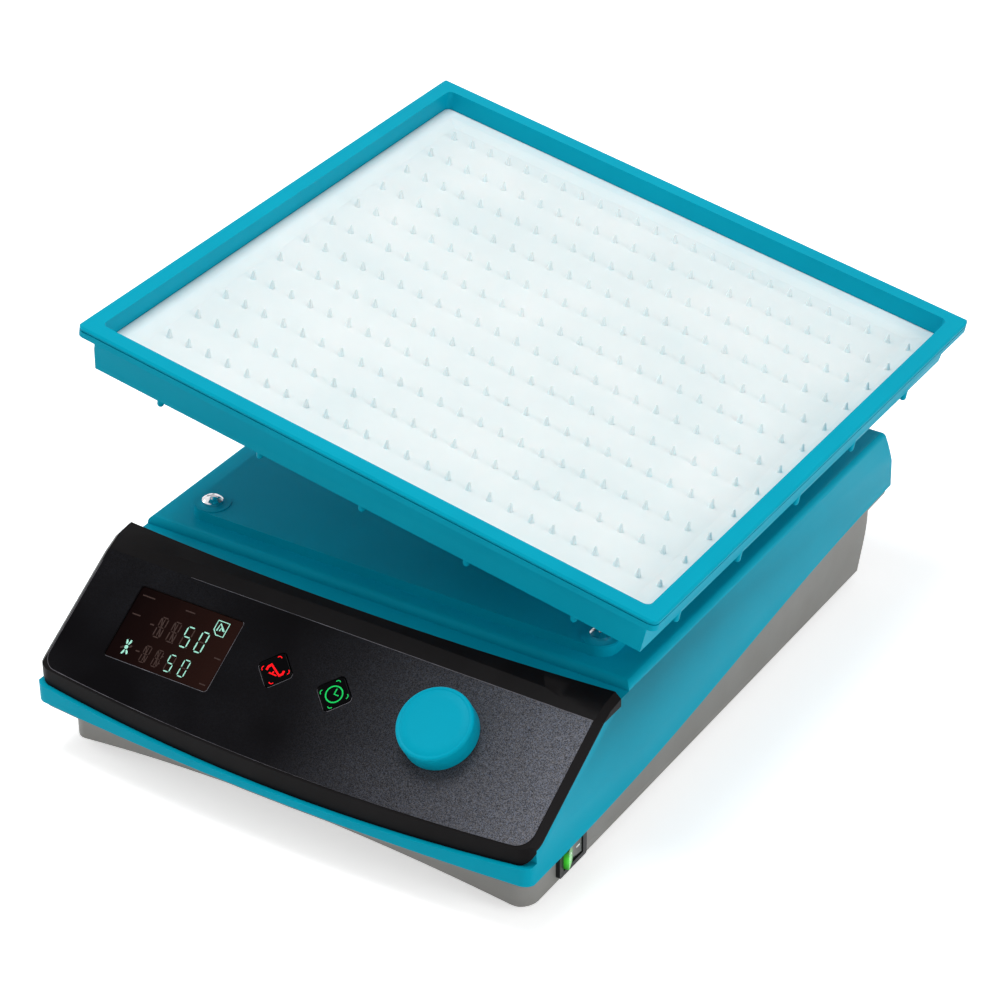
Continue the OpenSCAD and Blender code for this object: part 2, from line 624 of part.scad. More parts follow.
// The low front zone that lies ahead of a line set back by t from the front wall
module front_sill(t) translate([0, 0, -1]) linear_extrude(foot_h + arch_rise + tub_floor + 1) difference() {
    translate([-150, -250]) square([300, 100]);
    translate([0, bow_r - tub_front_y + t]) circle(bow_r, $fn = arc_fn);
}
module lower_housing() color(grey) in_row() {
    difference() {
        union() {
            tub(0);
            flange();
            // rim that locates the cover
            intersection() {
                translate([0, 0, foot_h + 5]) linear_extrude(80)
                    bowed(rim_at.x, rim_at.y, rim_at.z, 5, 6);
                below_seam(-lip_over);
                along_x(290) above_seam(1);
            }
        }
        difference() {
            tub(tub_wall);
            front_sill(tub_wall + arch_depth);
        }
        intersection() {
            translate([0, 0, foot_h + 5]) linear_extrude(90)
                bowed(rim_at.x - lip_wall, rim_at.y - lip_wall, rim_at.z - lip_wall, 4, 5);
            along_x(290) above_seam(0.5);
        }
        // arch along the front edge
        intersection() {
            translate([0, -tub_front_y, foot_h + arch_rise - arch_r]) rotate([90, 0, 0])
                cylinder(r = arch_r, h = 30, center = true, $fn = arc_fn);
            front_sill(arch_depth);
        }
        four(foot_at.x, foot_at.y, foot_at.z) {
            translate([0, 0, tub_z - 1]) cylinder(d = foot_d + 2 * gap, h = 2);
            cylinder(r = screw_d / 2 + run_clear, h = 20);
        }
        // cooling slots
        for (i = [0 : 7]) both_x() translate([20 + 7 * i, -128, 0]) linear_extrude(20) slot2d(26, 1.6);
        // openings for the switch and the inlet
        translate([tub_w / 2 - 8, switch_at.x - switch_hole.x / 2, switch_at.y - switch_hole.y / 2])
            cube([16, switch_hole.x, switch_hole.y]);
        at_inlet() cube([inlet_hole.x, inlet_hole.y, 30], center = true);
    }
    // inner bosses
    four(foot_at.x, foot_at.y, foot_at.z) translate([0, 0, floor_top - eps]) difference() {
        cylinder(d = 9, h = chassis_z - floor_top - gap + eps);
        translate([0, 0, -1]) cylinder(r = screw_d / 2 + run_clear, h = 10);
    }
    four(chassis_holes.x, chassis_holes.y, chassis_holes.z) translate([0, 0, floor_top - eps]) difference() {
        cylinder(d = 10, h = chassis_z - floor_top + eps);
        translate([0, 0, 0.4]) cylinder(r = screw_d / 2 + run_clear, h = 10);
    }
    four(screw_at.x, screw_at.y, screw_at.z) translate([0, 0, floor_top - eps]) difference() {
        union() {
            cylinder(d = 10, h = tower_h - floor_top);
            for (a = [0, 90]) rotate([0, 0, a]) translate([-7, -0.8, 0]) cube([14, 1.6, 12]);
        }
        translate([0, 0, 20]) cylinder(r = screw_d / 2 + run_clear, h = 60);
    }
}

module rubber_feet() color("#26272a") in_row() four(foot_at.x, foot_at.y, foot_at.z) difference() {
    union() {
        cylinder(d1 = foot_d - 2, d2 = foot_d, h = 1.5);
        translate([0, 0, 1.5 - eps]) cylinder(d = foot_d, h = foot_h - 0.5 + eps);
    }
    translate([0, 0, -1]) cylinder(d = 9, h = foot_recess + 1);
    cylinder(d = screw_d + 0.2, h = 20);
}
module foot_screws() color("#8f9397") in_row() four(foot_at.x, foot_at.y, foot_at.z)
    translate([0, 0, foot_recess]) rotate([180, 0, 0]) pan_screw(screw_d, 7.6, 2, chassis_z - gap - foot_recess - 0.1);

// ---------- top cover ----------
// Corner where a leaning side from [x0, z0] meets a level top at [x1, z1]: middle of its round
function corner_at(x0, z0, x1, z1, r) =
    [x1 + (x0 - x1) * r / (z1 - z0) - r / cos(atan((x0 - x1) / (z1 - z0))), z1 - r];
plan_over = 0.5;                     // the plan outline stands this far outside the leaning sides
// Side view of the cover, drawn in by t
module side_view(t) {
    r = shoulder_r - min(t, shoulder_r - 0.7);
    top = shoulder_h - t;
    arc = [rear_y - rear_arc_r * cos(rear_lean), skirt_rear_h - rear_arc_r * sin(rear_lean)];
    arc_r = rear_arc_r - t;
    // middle of the round between the back's curve and the shoulder, and where it meets the curve
    c = [arc.x + sqrt(pow(arc_r - r, 2) - pow(top - r - arc.y, 2)), top - r];
    meet = c + r * (c - arc) / norm(c - arc);
    intersection() {
        translate(arc) circle(arc_r, $fn = arc_fn);
        translate([0, -20]) square([rear_y + 20, meet.y + 20]);
    }
    polygon([[-front_y - 2, -20], [arc.x, -20], [arc.x, meet.y], meet, c, c + [0, r],
             [-groove_y + t + r, top], [-groove_y + t, top - r], [-groove_y + t, groove_h - t],
             [-crease_y + (groove_h - crease_h + seat_drop) / panel_tan - t * 0.3, groove_h - t],
             [-front_y - 2, main_z(-front_y - 2) - seat_drop - t / cos(panel_slope)]]);
    translate(c) circle(r);
    translate([-groove_y + t + r, top - r]) circle(r);
}
module front_view(t) {
    r = shoulder_r - min(t, shoulder_r - 0.7);
    top = shoulder_h - t;
    half0 = cover_w / 2 - t;
    half1 = shoulder_w / 2 - t;
    slope = (half0 - half1) / (top - skirt_front_h);
    c = corner_at(half0, skirt_front_h, half1, top, r);
    both_x() {
        polygon([[0, 0], [half0 + slope * skirt_front_h, 0], c + r * [cos(atan(slope)), sin(atan(slope))],
                 c + [0, r], [0, top]]);
        translate(c) circle(r);
    }
}
module cover_form(t) difference() {
    intersection() {
        along_x(300) side_view(t);
        along_x(310) above_seam(t > 0 ? 40 : 0);
        along_y(2 * front_y + 40) front_view(t);
        linear_extrude(100) bowed(cover_w / 2 + plan_over - t, front_y - t, rear_y + plan_over - t, 6 - t * 0.5, 9 - t);
    }
    // room for the panel's lip ahead of the nose
    intersection() {
        linear_extrude(120) difference() {
            translate([-200, -300]) square([400, 200]);
            translate([0, bow_r - nose_y + t]) circle(bow_r, $fn = arc_fn);
        }
        above_lip(lip_gap + t);
    }
}
module deck(t) translate([0, (deck_rear - deck_front) / 2, 60])
    linear_extrude(deck_h - 60 - t) round_rect(deck_half - t, (deck_rear + deck_front) / 2 - t, deck_r - min(t, deck_r - 2));
module top_cover() color(teal) in_row() {
    difference() {
        union() {
            cover_form(0);
            deck(0);
            four(screw_at.x, screw_at.y, screw_at.z) translate([0, 0, 60]) cylinder(r = deck_r - 0.3, h = deck_h - 60 + 0.4);
        }
        difference() {
            union() {
                cover_form(cover_wall);
                deck(cover_wall);
            }
            four(screw_at.x, screw_at.y, screw_at.z) translate([0, 0, tower_h + gap]) cylinder(d = 11, h = 40);
        }
        four(screw_at.x, screw_at.y, screw_at.z) cylinder(d = screw_d + 0.4, h = 100);
        // opening under the panel
        translate([0, -crease_y, crease_h]) rotate([panel_slope, 0, 0])
            translate([0, board_at.y, -20]) linear_extrude(30) round_rect(board_size.x / 2 + 3, board_size.y / 2 + 2.5, 5);
        // openings for the stands and the drive arm
        both_y() translate([0, stand_y, 50]) linear_extrude(50) round_rect(stand_neck + 1.5, stand_t / 2 + 1.5, 2);
        translate([0, 0, 50]) linear_extrude(50) round_rect(arm_gap_x, block_w / 2 - 1, 3);
    }
    // low rim round the arm's opening
    translate([0, 0, deck_h - eps]) linear_extrude(2.5) difference() {
        round_rect(arm_gap_x + 2, block_w / 2 + 1, 4);
        round_rect(arm_gap_x, block_w / 2 - 1, 3);
    }
}
module cover_screws() color("#d9dcdf") in_row() four(screw_at.x, screw_at.y, screw_at.z)
    translate([0, 0, deck_h + 0.4]) difference() {
        pan_screw(screw_d, 9.4, 3.4, 42);
        rotate([0, 0, 20]) cross_recess(5, 3.4);
    }

// ---------- control panel ----------
// Everything above the lip's lower edge, an arc that rises to both ends, lowered by drop
module above_lip(drop) along_y(700) intersection() {
    translate([0, lip_h - drop + lip_r]) circle(lip_r, $fn = arc_fn);
    translate([-180, 0]) square([360, 140]);
}
module bow_revolve(y_mid) translate([0, bow_r - y_mid, 0]) rotate([0, 0, -100])
    rotate_extrude(angle = 20, $fn = arc_fn) children();
module panel_body() intersection() {
    // band and facet follow the bow of the top edge
    bow_revolve(panel_top_y) polygon([[bow_r, 20], [bow_r, panel_top_h],
        [bow_r + band_w, panel_top_h - band_w * tan(band_slope)],
        [bow_r + band_w + 80, panel_top_h - band_w * tan(band_slope) - 80 * tan(facet_slope)],
        [bow_r + band_w + 80, 20]]);
    along_x(300) polygon([[-100, main_z(-100)], [-240, main_z(-240)], [-240, -60], [-100, -60]]);
    translate([0, 0, 10]) linear_extrude(90) bowed(panel_half, panel_front_y, 0, 8, 5);
    above_lip(0);
    end_bevel(-crease_y, crease_h, panel_slope);
    end_bevel(face_drop - panel_top_y, panel_top_h, band_slope);
    end_bevel(face_drop - panel_top_y - band_w, panel_top_h - band_w * tan(band_slope), facet_slope);
}
// Everything under a sloping face whose two ends are bevelled
module end_bevel(y, z, slope) translate([0, y, z]) rotate([slope, 0, 0]) along_y(500)
    polygon([[-panel_half, -140], [panel_half, -140], [panel_half, -end_bevel_h],
             [0, face_half * end_bevel_h / end_bevel_w], [-panel_half, -end_bevel_h]]);
module panel_seat() intersection() {
    along_x(320) polygon([[-90, groove_h + 0.1], [-crease_y + (groove_h + 0.1 - crease_h + seat_drop - 0.1) / panel_tan, groove_h + 0.1],
                          [-250, main_z(-250) - seat_drop + 0.1], [-250, -90], [-90, -90]]);
    linear_extrude(90) intersection() {
        translate([0, bow_r - nose_y - 0.1]) circle(bow_r, $fn = arc_fn);
        square([320, 520], center = true);
    }
}
module key_outline(side, r) rotate(45) round_rect(side / 2, side / 2, r);
module panel_holes() {
    translate(window_at) translate([0, 0, -20]) linear_extrude(30) round_rect(window_size.x / 2, window_size.y / 2, 1.5);
    for (at = [run_key_at, timer_key_at]) translate(at) translate([0, 0, -20]) linear_extrude(30)
        key_outline(key_size + 2 * gap, 2 + gap);
    translate(knob_at) translate([0, 0, -20]) cylinder(d = 9.4, h = 30);
}
module control_panel() color(black) in_row() {
    difference() {
        panel_body();
        panel_seat();
        translate([0, -crease_y, crease_h]) rotate([panel_slope, 0, 0]) panel_holes();
    }
    // posts that carry the board
    translate([0, -crease_y, crease_h]) rotate([panel_slope, 0, 0]) board_posts()
        translate([0, 0, board_z]) difference() {
            cylinder(d = 7, h = -board_z - panel_t + 0.4);
            translate([0, 0, -1]) cylinder(r = 1.5 + run_clear, h = 6.5);
        }
}
module board_posts() {
    dx = board_size.x / 2 - post_in;
    dy = board_size.y / 2 - post_in;
    for (x = [-dx, dx], y = [board_at.y - dy, board_at.y + dy]) translate([x, y, 0]) children();
    for (x = post_mid_x) translate([x, board_at.y - dy, 0]) children();
}
module display_window() color("#2a1c1c") on_panel() translate(window_at) translate([0, 0, -2.4])
    linear_extrude(2.2) round_rect(window_size.x / 2 - 0.1, window_size.y / 2 - 0.1, 1.4);
module display_module() color("#384246") on_panel() translate(window_at) translate([0, 0, board_z + gap / 3])
    linear_extrude(-board_z - 2.4 - gap) round_rect(window_size.x / 2 - 1, window_size.y / 2 - 1, 1);
module control_board() color(green_board) on_panel() difference() {
    translate(board_at) translate([0, 0, board_z - board_t]) linear_extrude(board_t) round_rect(board_size.x / 2, board_size.y / 2, 3);
    board_posts() translate([0, 0, board_z - board_t - 1]) cylinder(d = 3.4, h = 4);
    translate(knob_at) translate([0, 0, board_z - 3]) cylinder(d = 7, h = 6);
}
module board_screws() color("#8f9397") on_panel() board_posts()
    translate([0, 0, board_z - board_t]) rotate([180, 0, 0]) pan_screw(3, 5.6, 2, board_t + 5);
module key_switches() color("#404347") on_panel() for (at = [run_key_at, timer_key_at]) translate(at) translate([0, 0, board_z]) {
    translate([-3, -3, 0]) cube([6, 6, 3.6]);
    cylinder(d = 3.4, h = key_foot - key_travel - 0.1 - board_z);
}
module key(at) on_panel() translate(at) {
    translate([0, 0, -panel_t - 0.4]) linear_extrude(panel_t + 0.4 + 0.5) key_outline(key_size, 2);
    translate([0, 0, key_foot]) linear_extrude(1.21) key_outline(key_size + 1.6, 1.6);
}
module run_key() color("#0c0b0d") key(run_key_at);
module timer_key() color("#0c0b0d") key(timer_key_at);
module encoder_body() color("#6b6f73") on_panel() translate(knob_at) {
    translate([-6.5, -6.5, board_z + gap / 3]) linear_extrude(-board_z - panel_t - 0.5) difference() {
        square(13);
        translate([6.5, 6.5]) circle(enc_r + run_clear);
    }
    translate([0, 0, -panel_t - 0.5]) difference() {
        cylinder(r = 4.4, h = panel_t + 0.3);
        translate([0, 0, -1]) cylinder(r = enc_r + run_clear, h = 10);
    }
}
module encoder_shaft() color("#c9cccf") on_panel() translate(knob_at) translate([0, 0, board_z + 2.2])
    cylinder(r = enc_r, h = -board_z - 2.2 + knob_h - 3);
module speed_knob() color(teal) on_panel() translate(knob_at) translate([0, 0, 0.6]) rotate([0, 0, 90]) difference() {
    rotate_extrude($fn = 96) polygon([[0, 0], [knob_d / 2, 0], [knob_d / 2, knob_h - 1.4],
                                      [knob_d / 2 - 0.8, knob_h - 0.6], [0, knob_h - 0.6]]);
    translate([0, 0, -1]) cylinder(r = enc_r + 0.02, h = knob_h - 2.6);
    // hollow underside
    translate([0, 0, -1]) rotate_extrude() polygon([[6, 0], [knob_d / 2 - 2.4, 0], [knob_d / 2 - 2.8, knob_h - 2.6], [6, knob_h - 2.6]]);
}

// ---------- power entry and supply ----------
module at_inlet() translate([inlet_at.x, tub_rear_y + (inlet_at.y - foot_h) * tan(tub_rear_lean), inlet_at.y])
    rotate([-90 - tub_rear_lean, 0, 0]) children();
module power_inlet() color("#232427") in_row() at_inlet() difference() {
    union() {
        linear_extrude(2.6) round_rect(15.5, 11.6, 3);
        translate([0, 0, -22]) linear_extrude(22.1) round_rect(inlet_hole.x / 2 - 0.2, inlet_hole.y / 2 - 0.2, 1.5);
        for (x = [-7, 0, 7]) translate([x - 2.4, (x == 0 ? -3.4 : 2.2) - 0.4, -30]) cube([4.8, 0.8, 9]);
    }
    // keyed socket
    translate([0, 0, -14]) linear_extrude(20) polygon([[-11.5, 8], [11.5, 8], [11.5, -4], [8, -8], [-8, -8], [-11.5, -4]]);
}
module power_switch() color("#1d1e20") in_row() translate([tub_w / 2, switch_at.x, switch_at.y]) rotate([90, 0, 90]) difference() {
    union() {
        linear_extrude(2) round_rect(10.7, 7.5, 1);
        translate([0, 0, -13]) linear_extrude(13.1) square([switch_hole.x - 0.4, switch_hole.y - 0.4], center = true);
        for (x = [-6, 6]) translate([x - 0.4, -2.4, -20]) cube([0.8, 4.8, 8]);
    }
    translate([0, 0, -7]) linear_extrude(12) square([rocker_l + 1.6, rocker_w + 0.8], center = true);
    // bearings of the rocker's pins
    translate([0, 0, rocker_pin_x]) rotate([90, 0, 0]) cylinder(r = rocker_pin_r + run_clear, h = 20, center = true);
}
module power_rocker() color("#1f9a3c") in_row() translate([tub_w / 2 + rocker_pin_x, switch_at.x, switch_at.y])
    rotate([0, 0, rocker_angle]) {
        translate([0, 0, -rocker_w / 2]) linear_extrude(rocker_w)
            polygon([[3, 0], [4.2, rocker_l / 2], [2.4, rocker_l / 2 + 0.1], [-3.6, rocker_l / 2 - 1.6],
                     [-3.6, 1.6 - rocker_l / 2], [2.4, -0.1 - rocker_l / 2], [4.2, -rocker_l / 2]]);
        cylinder(r = rocker_pin_r, h = switch_hole.y - 1, center = true);
    }

module supply_board() color("#b98a3a") in_row() translate([supply_at.x, supply_at.y, 0]) {
    difference() {
        translate([0, 0, supply_z]) linear_extrude(1.6) round_rect(supply_half.x, supply_half.y, 2);
        four(supply_half.x - 4, supply_half.y - 5, supply_half.y - 5) cylinder(d = 3.2, h = 60);
    }
    four(supply_half.x - 4, supply_half.y - 5, supply_half.y - 5) translate([0, 0, chassis_top]) cylinder(d = 6, h = supply_z - chassis_top);
}
module supply_parts() color("#5a5f63") in_row() translate([supply_at.x, supply_at.y, supply_z + 1.6]) {
    translate([-13, -10, 0]) cube([26, 24, 20]);
    for (y = [-32, -20]) translate([-8, y, 0]) cylinder(d = 10, h = 22);
    translate([8, -34, 0]) cube([3, 18, 24]);
    for (x = [-8, 6]) translate([x, 30, 0]) cylinder(d = 12, h = 18);
}

platform_tray();
dimpled_mat();
carrier_plate();
carrier_screws();
shaft_blocks();
pivot_shaft();
shaft_rings();
drive_arm();
crank_disc();
crank_pin();
crank_roller();
output_shaft();
pivot_stands();
stand_screws();
pivot_bushes();
gearbox();
motor();
motor_bracket();
chassis_plate();
chassis_screws();
lower_housing();
rubber_feet();
foot_screws();
top_cover();
cover_screws();
control_panel();
display_window();
display_module();
control_board();
board_screws();
key_switches();
run_key();
timer_key();
encoder_body();
encoder_shaft();
speed_knob();
power_inlet();
power_switch();
power_rocker();
supply_board();
supply_parts();
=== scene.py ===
import json
import math
import bpy
import bmesh
import numpy as np
from mathutils import Euler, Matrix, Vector


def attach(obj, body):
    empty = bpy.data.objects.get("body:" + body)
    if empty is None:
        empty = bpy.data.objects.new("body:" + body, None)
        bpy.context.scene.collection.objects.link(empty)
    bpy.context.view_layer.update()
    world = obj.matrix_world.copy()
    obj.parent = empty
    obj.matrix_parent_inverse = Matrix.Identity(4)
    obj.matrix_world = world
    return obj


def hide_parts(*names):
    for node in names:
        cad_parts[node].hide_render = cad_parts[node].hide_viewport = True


# rocking platform shaker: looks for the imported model, in metres, +Z up, panel towards -Y
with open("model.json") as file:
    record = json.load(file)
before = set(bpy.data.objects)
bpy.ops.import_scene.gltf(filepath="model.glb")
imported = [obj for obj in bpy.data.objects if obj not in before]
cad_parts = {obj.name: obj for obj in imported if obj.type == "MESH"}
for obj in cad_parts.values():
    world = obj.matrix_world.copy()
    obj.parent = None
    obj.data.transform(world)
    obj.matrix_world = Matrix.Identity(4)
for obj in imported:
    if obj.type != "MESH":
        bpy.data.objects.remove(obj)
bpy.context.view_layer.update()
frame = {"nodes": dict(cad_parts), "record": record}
nodes = frame["nodes"]
bodyOf = {node: body for body, names in frame["record"]["behaviour"]["bodies"].items() for node in names}
slotOf = {row["node"]: row["material_slot"] for row in frame["record"]["subparts"]}
scene = bpy.context.scene
scene.view_settings.view_transform = "Standard"
mm = 0.001
print("frame loaded:", len(nodes), "nodes")

# ---- camera ----
cameraSettings = {"place": (0.6564, -1.0405, 0.8497), "turn": (57.93, 0.39, 32.01), "lens": 118.14,
                  "sensor": 36.0, "clipEnd": 20}
cameraData = bpy.data.cameras.new("benchCamera")
cameraData.lens = cameraSettings["lens"]
cameraData.sensor_width = cameraSettings["sensor"]
cameraData.clip_end = cameraSettings["clipEnd"]
camera = bpy.data.objects.new("benchCamera", cameraData)
camera.location = cameraSettings["place"]
camera.rotation_euler = Euler([math.radians(a) for a in cameraSettings["turn"]])
scene.collection.objects.link(camera)
scene.camera = camera


# ---- nodes and colours ----
def linear(hexText):
    # sRGB hex to linear: the low part is divided by 12.92, the rest is ((c + 0.055) / 1.055) to the power 2.4
    channel = np.array([int(hexText[i:i + 2], 16) for i in (1, 3, 5)]) / 255
    curve = np.where(channel <= 0.04045, channel / 12.92, ((channel + 0.055) / 1.055) ** 2.4)
    return (*[float(c) for c in curve], 1.0)


def addNode(tree, kind, settings=None, links=None):
    # settings go to the node's own fields where it has them, else to its sockets; links go to sockets
    node = tree.nodes.new(kind)
    for key, value in (settings or {}).items():
        if isinstance(key, str) and hasattr(node, key):
            setattr(node, key, value)
        else:
            node.inputs[key].default_value = value
    for key, source in (links or {}).items():
        tree.links.new(source, node.inputs[key])
    return node


def startMaterial(name, **sockets):
    material = bpy.data.materials.new(name)
    material.use_nodes = True
    tree = material.node_tree
    tree.nodes.clear()
    settings = {key.replace("_", " "): value for key, value in sockets.items()}
    shader = addNode(tree, "ShaderNodeBsdfPrincipled", settings)
    addNode(tree, "ShaderNodeOutputMaterial", links={"Surface": shader.outputs[0]})
    place = addNode(tree, "ShaderNodeTexCoord").outputs["Object"]
    return material, tree, shader, place


def perMetre(sizeMm):
    return 1 / (sizeMm * mm)     # a pattern of that size repeats this often in a metre


def mottledColour(tree, shader, place, tone, sizeMm, detail):
    # base colour in soft clouds of the given size, from the dark tone to the light; gives back their height
    cloud = addNode(tree, "ShaderNodeTexNoise", {"Scale": perMetre(sizeMm), "Detail": detail},
                    {"Vector": place})
    ramp = addNode(tree, "ShaderNodeValToRGB", links={"Fac": cloud.outputs["Fac"]})
    first, last = ramp.color_ramp.elements
    first.position, last.position = 0.3, 0.7
    first.color, last.color = linear(tone["dark"]), linear(tone["light"])
    tree.links.new(ramp.outputs["Color"], shader.inputs["Base Color"])
    return cloud.outputs["Fac"]


def skinFrom(tree, shader, height, least, most, strength, deepMm):
    # one height makes gloss and relief: the roughness runs from least to most, and the surface rises by deepMm
    gloss = addNode(tree, "ShaderNodeMapRange", {"To Min": least, "To Max": most}, {"Value": height})
    tree.links.new(gloss.outputs["Result"], shader.inputs["Roughness"])
    bump = addNode(tree, "ShaderNodeBump", {"Strength": strength, "Distance": deepMm * mm}, {"Height": height})
    tree.links.new(bump.outputs["Normal"], shader.inputs["Normal"])


def mouldedPlastic(name, tone):
    # injection moulded part: even colour with a faint flow mottle, spark-eroded grain, satin gloss
    material, tree, shader, place = startMaterial(name, IOR=tone["ior"], Specular_IOR_Level=tone["gloss"])
    mottledColour(tree, shader, place, tone, tone["flowMm"], 3.0)
    grain = addNode(tree, "ShaderNodeTexNoise",
                    {"Scale": perMetre(tone["grainMm"]), "Detail": 2.0, "Roughness": 0.6}, {"Vector": place})
    skinFrom(tree, shader, grain.outputs["Fac"], tone["rough"] - 0.05, tone["rough"] + 0.07,
             tone["bump"], tone["deepMm"])
    return material


def workedMetal(name, tone):
    # rolled, turned or plated metal: fine streaks along one axis, some bright and some dull
    material, tree, shader, place = startMaterial(name, Metallic=1.0)
    drawn = addNode(tree, "ShaderNodeMapping", {"Scale": tone["stretch"]}, {"Vector": place})
    streak = mottledColour(tree, shader, drawn.outputs["Vector"], tone, tone["streakMm"], 3.0)
    skinFrom(tree, shader, streak, tone["rough"] - 0.04, tone["rough"] + 0.08, tone["bump"], 0.02)
    return material


# teal ABS: a saturated blue-green that stays even; the grain is coarser than the real 0.1 mm, so that it shows
tealAbs = mouldedPlastic("tealAbsMoulded", {
    "dark": "#00a0bb", "light": "#00a6c1", "ior": 1.52, "gloss": 0.04, "flowMm": 38,
    "grainMm": 0.45, "rough": 0.42, "bump": 0.35, "deepMm": 0.05})
# grey ABS of the tub: warm, duller than the teal
greyAbs = mouldedPlastic("warmGreyAbsMoulded", {
    "dark": "#898884", "light": "#92918e", "ior": 1.52, "gloss": 0.25, "flowMm": 30,
    "grainMm": 0.5, "rough": 0.5, "bump": 0.4, "deepMm": 0.05})
# black ABS of the panel's carrier: dark warm grey, satin
panelAbs = mouldedPlastic("blackAbsSatin", {
    "dark": "#0d0b0c", "light": "#131112", "ior": 1.52, "gloss": 0.05, "flowMm": 20,
    "grainMm": 0.5, "rough": 0.38, "bump": 0.3, "deepMm": 0.04})
# polished key caps: deeper and glossier than the film round them
keyBlack = mouldedPlastic("keyAbsPolished", {
    "dark": "#020203", "light": "#030304", "ior": 1.5, "gloss": 0.03, "flowMm": 8,
    "grainMm": 1.6, "rough": 0.14, "bump": 0.06, "deepMm": 0.02})
# polyamide of the mains inlet and the switch's frame: plain black, half matt
socketBlack = mouldedPlastic("blackPolyamide", {
    "dark": "#121213", "light": "#19191b", "ior": 1.53, "gloss": 0.25, "flowMm": 10,
    "grainMm": 0.4, "rough": 0.36, "bump": 0.3, "deepMm": 0.04})
innerDark = mouldedPlastic("darkPbtMoulded", {
    "dark": "#2b2d2f", "light": "#35373a", "ior": 1.54, "gloss": 0.4, "flowMm": 12,
    "grainMm": 0.4, "rough": 0.5, "bump": 0.3, "deepMm": 0.04})
# rubber of the feet: matt and almost black
rubber = mouldedPlastic("nitrileRubberMatt", {
    "dark": "#161617", "light": "#202021", "ior": 1.52, "gloss": 0.4, "flowMm": 6,
    "grainMm": 0.3, "rough": 0.78, "bump": 0.5, "deepMm": 0.06})
# zinc-plated steel: cool, slightly streaked along the rolling direction
zincSteel = workedMetal("zincPlatedSteel", {
    "dark": "#a9acb0", "light": "#c6c9cc", "streakMm": 1.2, "stretch": (0.08, 1, 1),
    "rough": 0.32, "bump": 0.25})
darkSteel = workedMetal("blackenedSteel", {
    "dark": "#33363a", "light": "#4a4e53", "streakMm": 1.0, "stretch": (1, 0.1, 1),
    "rough": 0.4, "bump": 0.25})
brassTurned = workedMetal("turnedBrass", {
    "dark": "#b8964a", "light": "#d3b268", "streakMm": 0.8, "stretch": (1, 6, 1),
    "rough": 0.26, "bump": 0.2})
# nickel-chrome plating: mirror-like, only the softest ripple
chromePlate = workedMetal("brightChromePlate", {
    "dark": "#dcdcde", "light": "#ececee", "streakMm": 2.5, "stretch": (1, 1, 1),
    "rough": 0.09, "bump": 0.03})


def siliconeRubber(name, tone):
    # translucent white silicone: light goes a few millimetres in, so shadows turn pale and cool
    material, tree, shader, place = startMaterial(
        name, IOR=1.41, Subsurface_Weight=tone["depth"], Subsurface_Scale=tone["depthMm"] * mm,
        Subsurface_Radius=(0.75, 0.95, 1.0))
    mottledColour(tree, shader, place, tone, tone["cloudMm"], 4.0)
    skin = addNode(tree, "ShaderNodeTexNoise", {"Scale": perMetre(tone["skinMm"]), "Detail": 2.0},
                   {"Vector": place})
    skinFrom(tree, shader, skin.outputs["Fac"], 0.4, 0.56, 0.3, 0.05)
    return material


silicone = siliconeRubber("whiteSiliconeMoulded", {
    "dark": "#dfecee", "light": "#e9f3f4", "cloudMm": 45, "skinMm": 0.8, "depth": 0.6, "depthMm": 3.0})


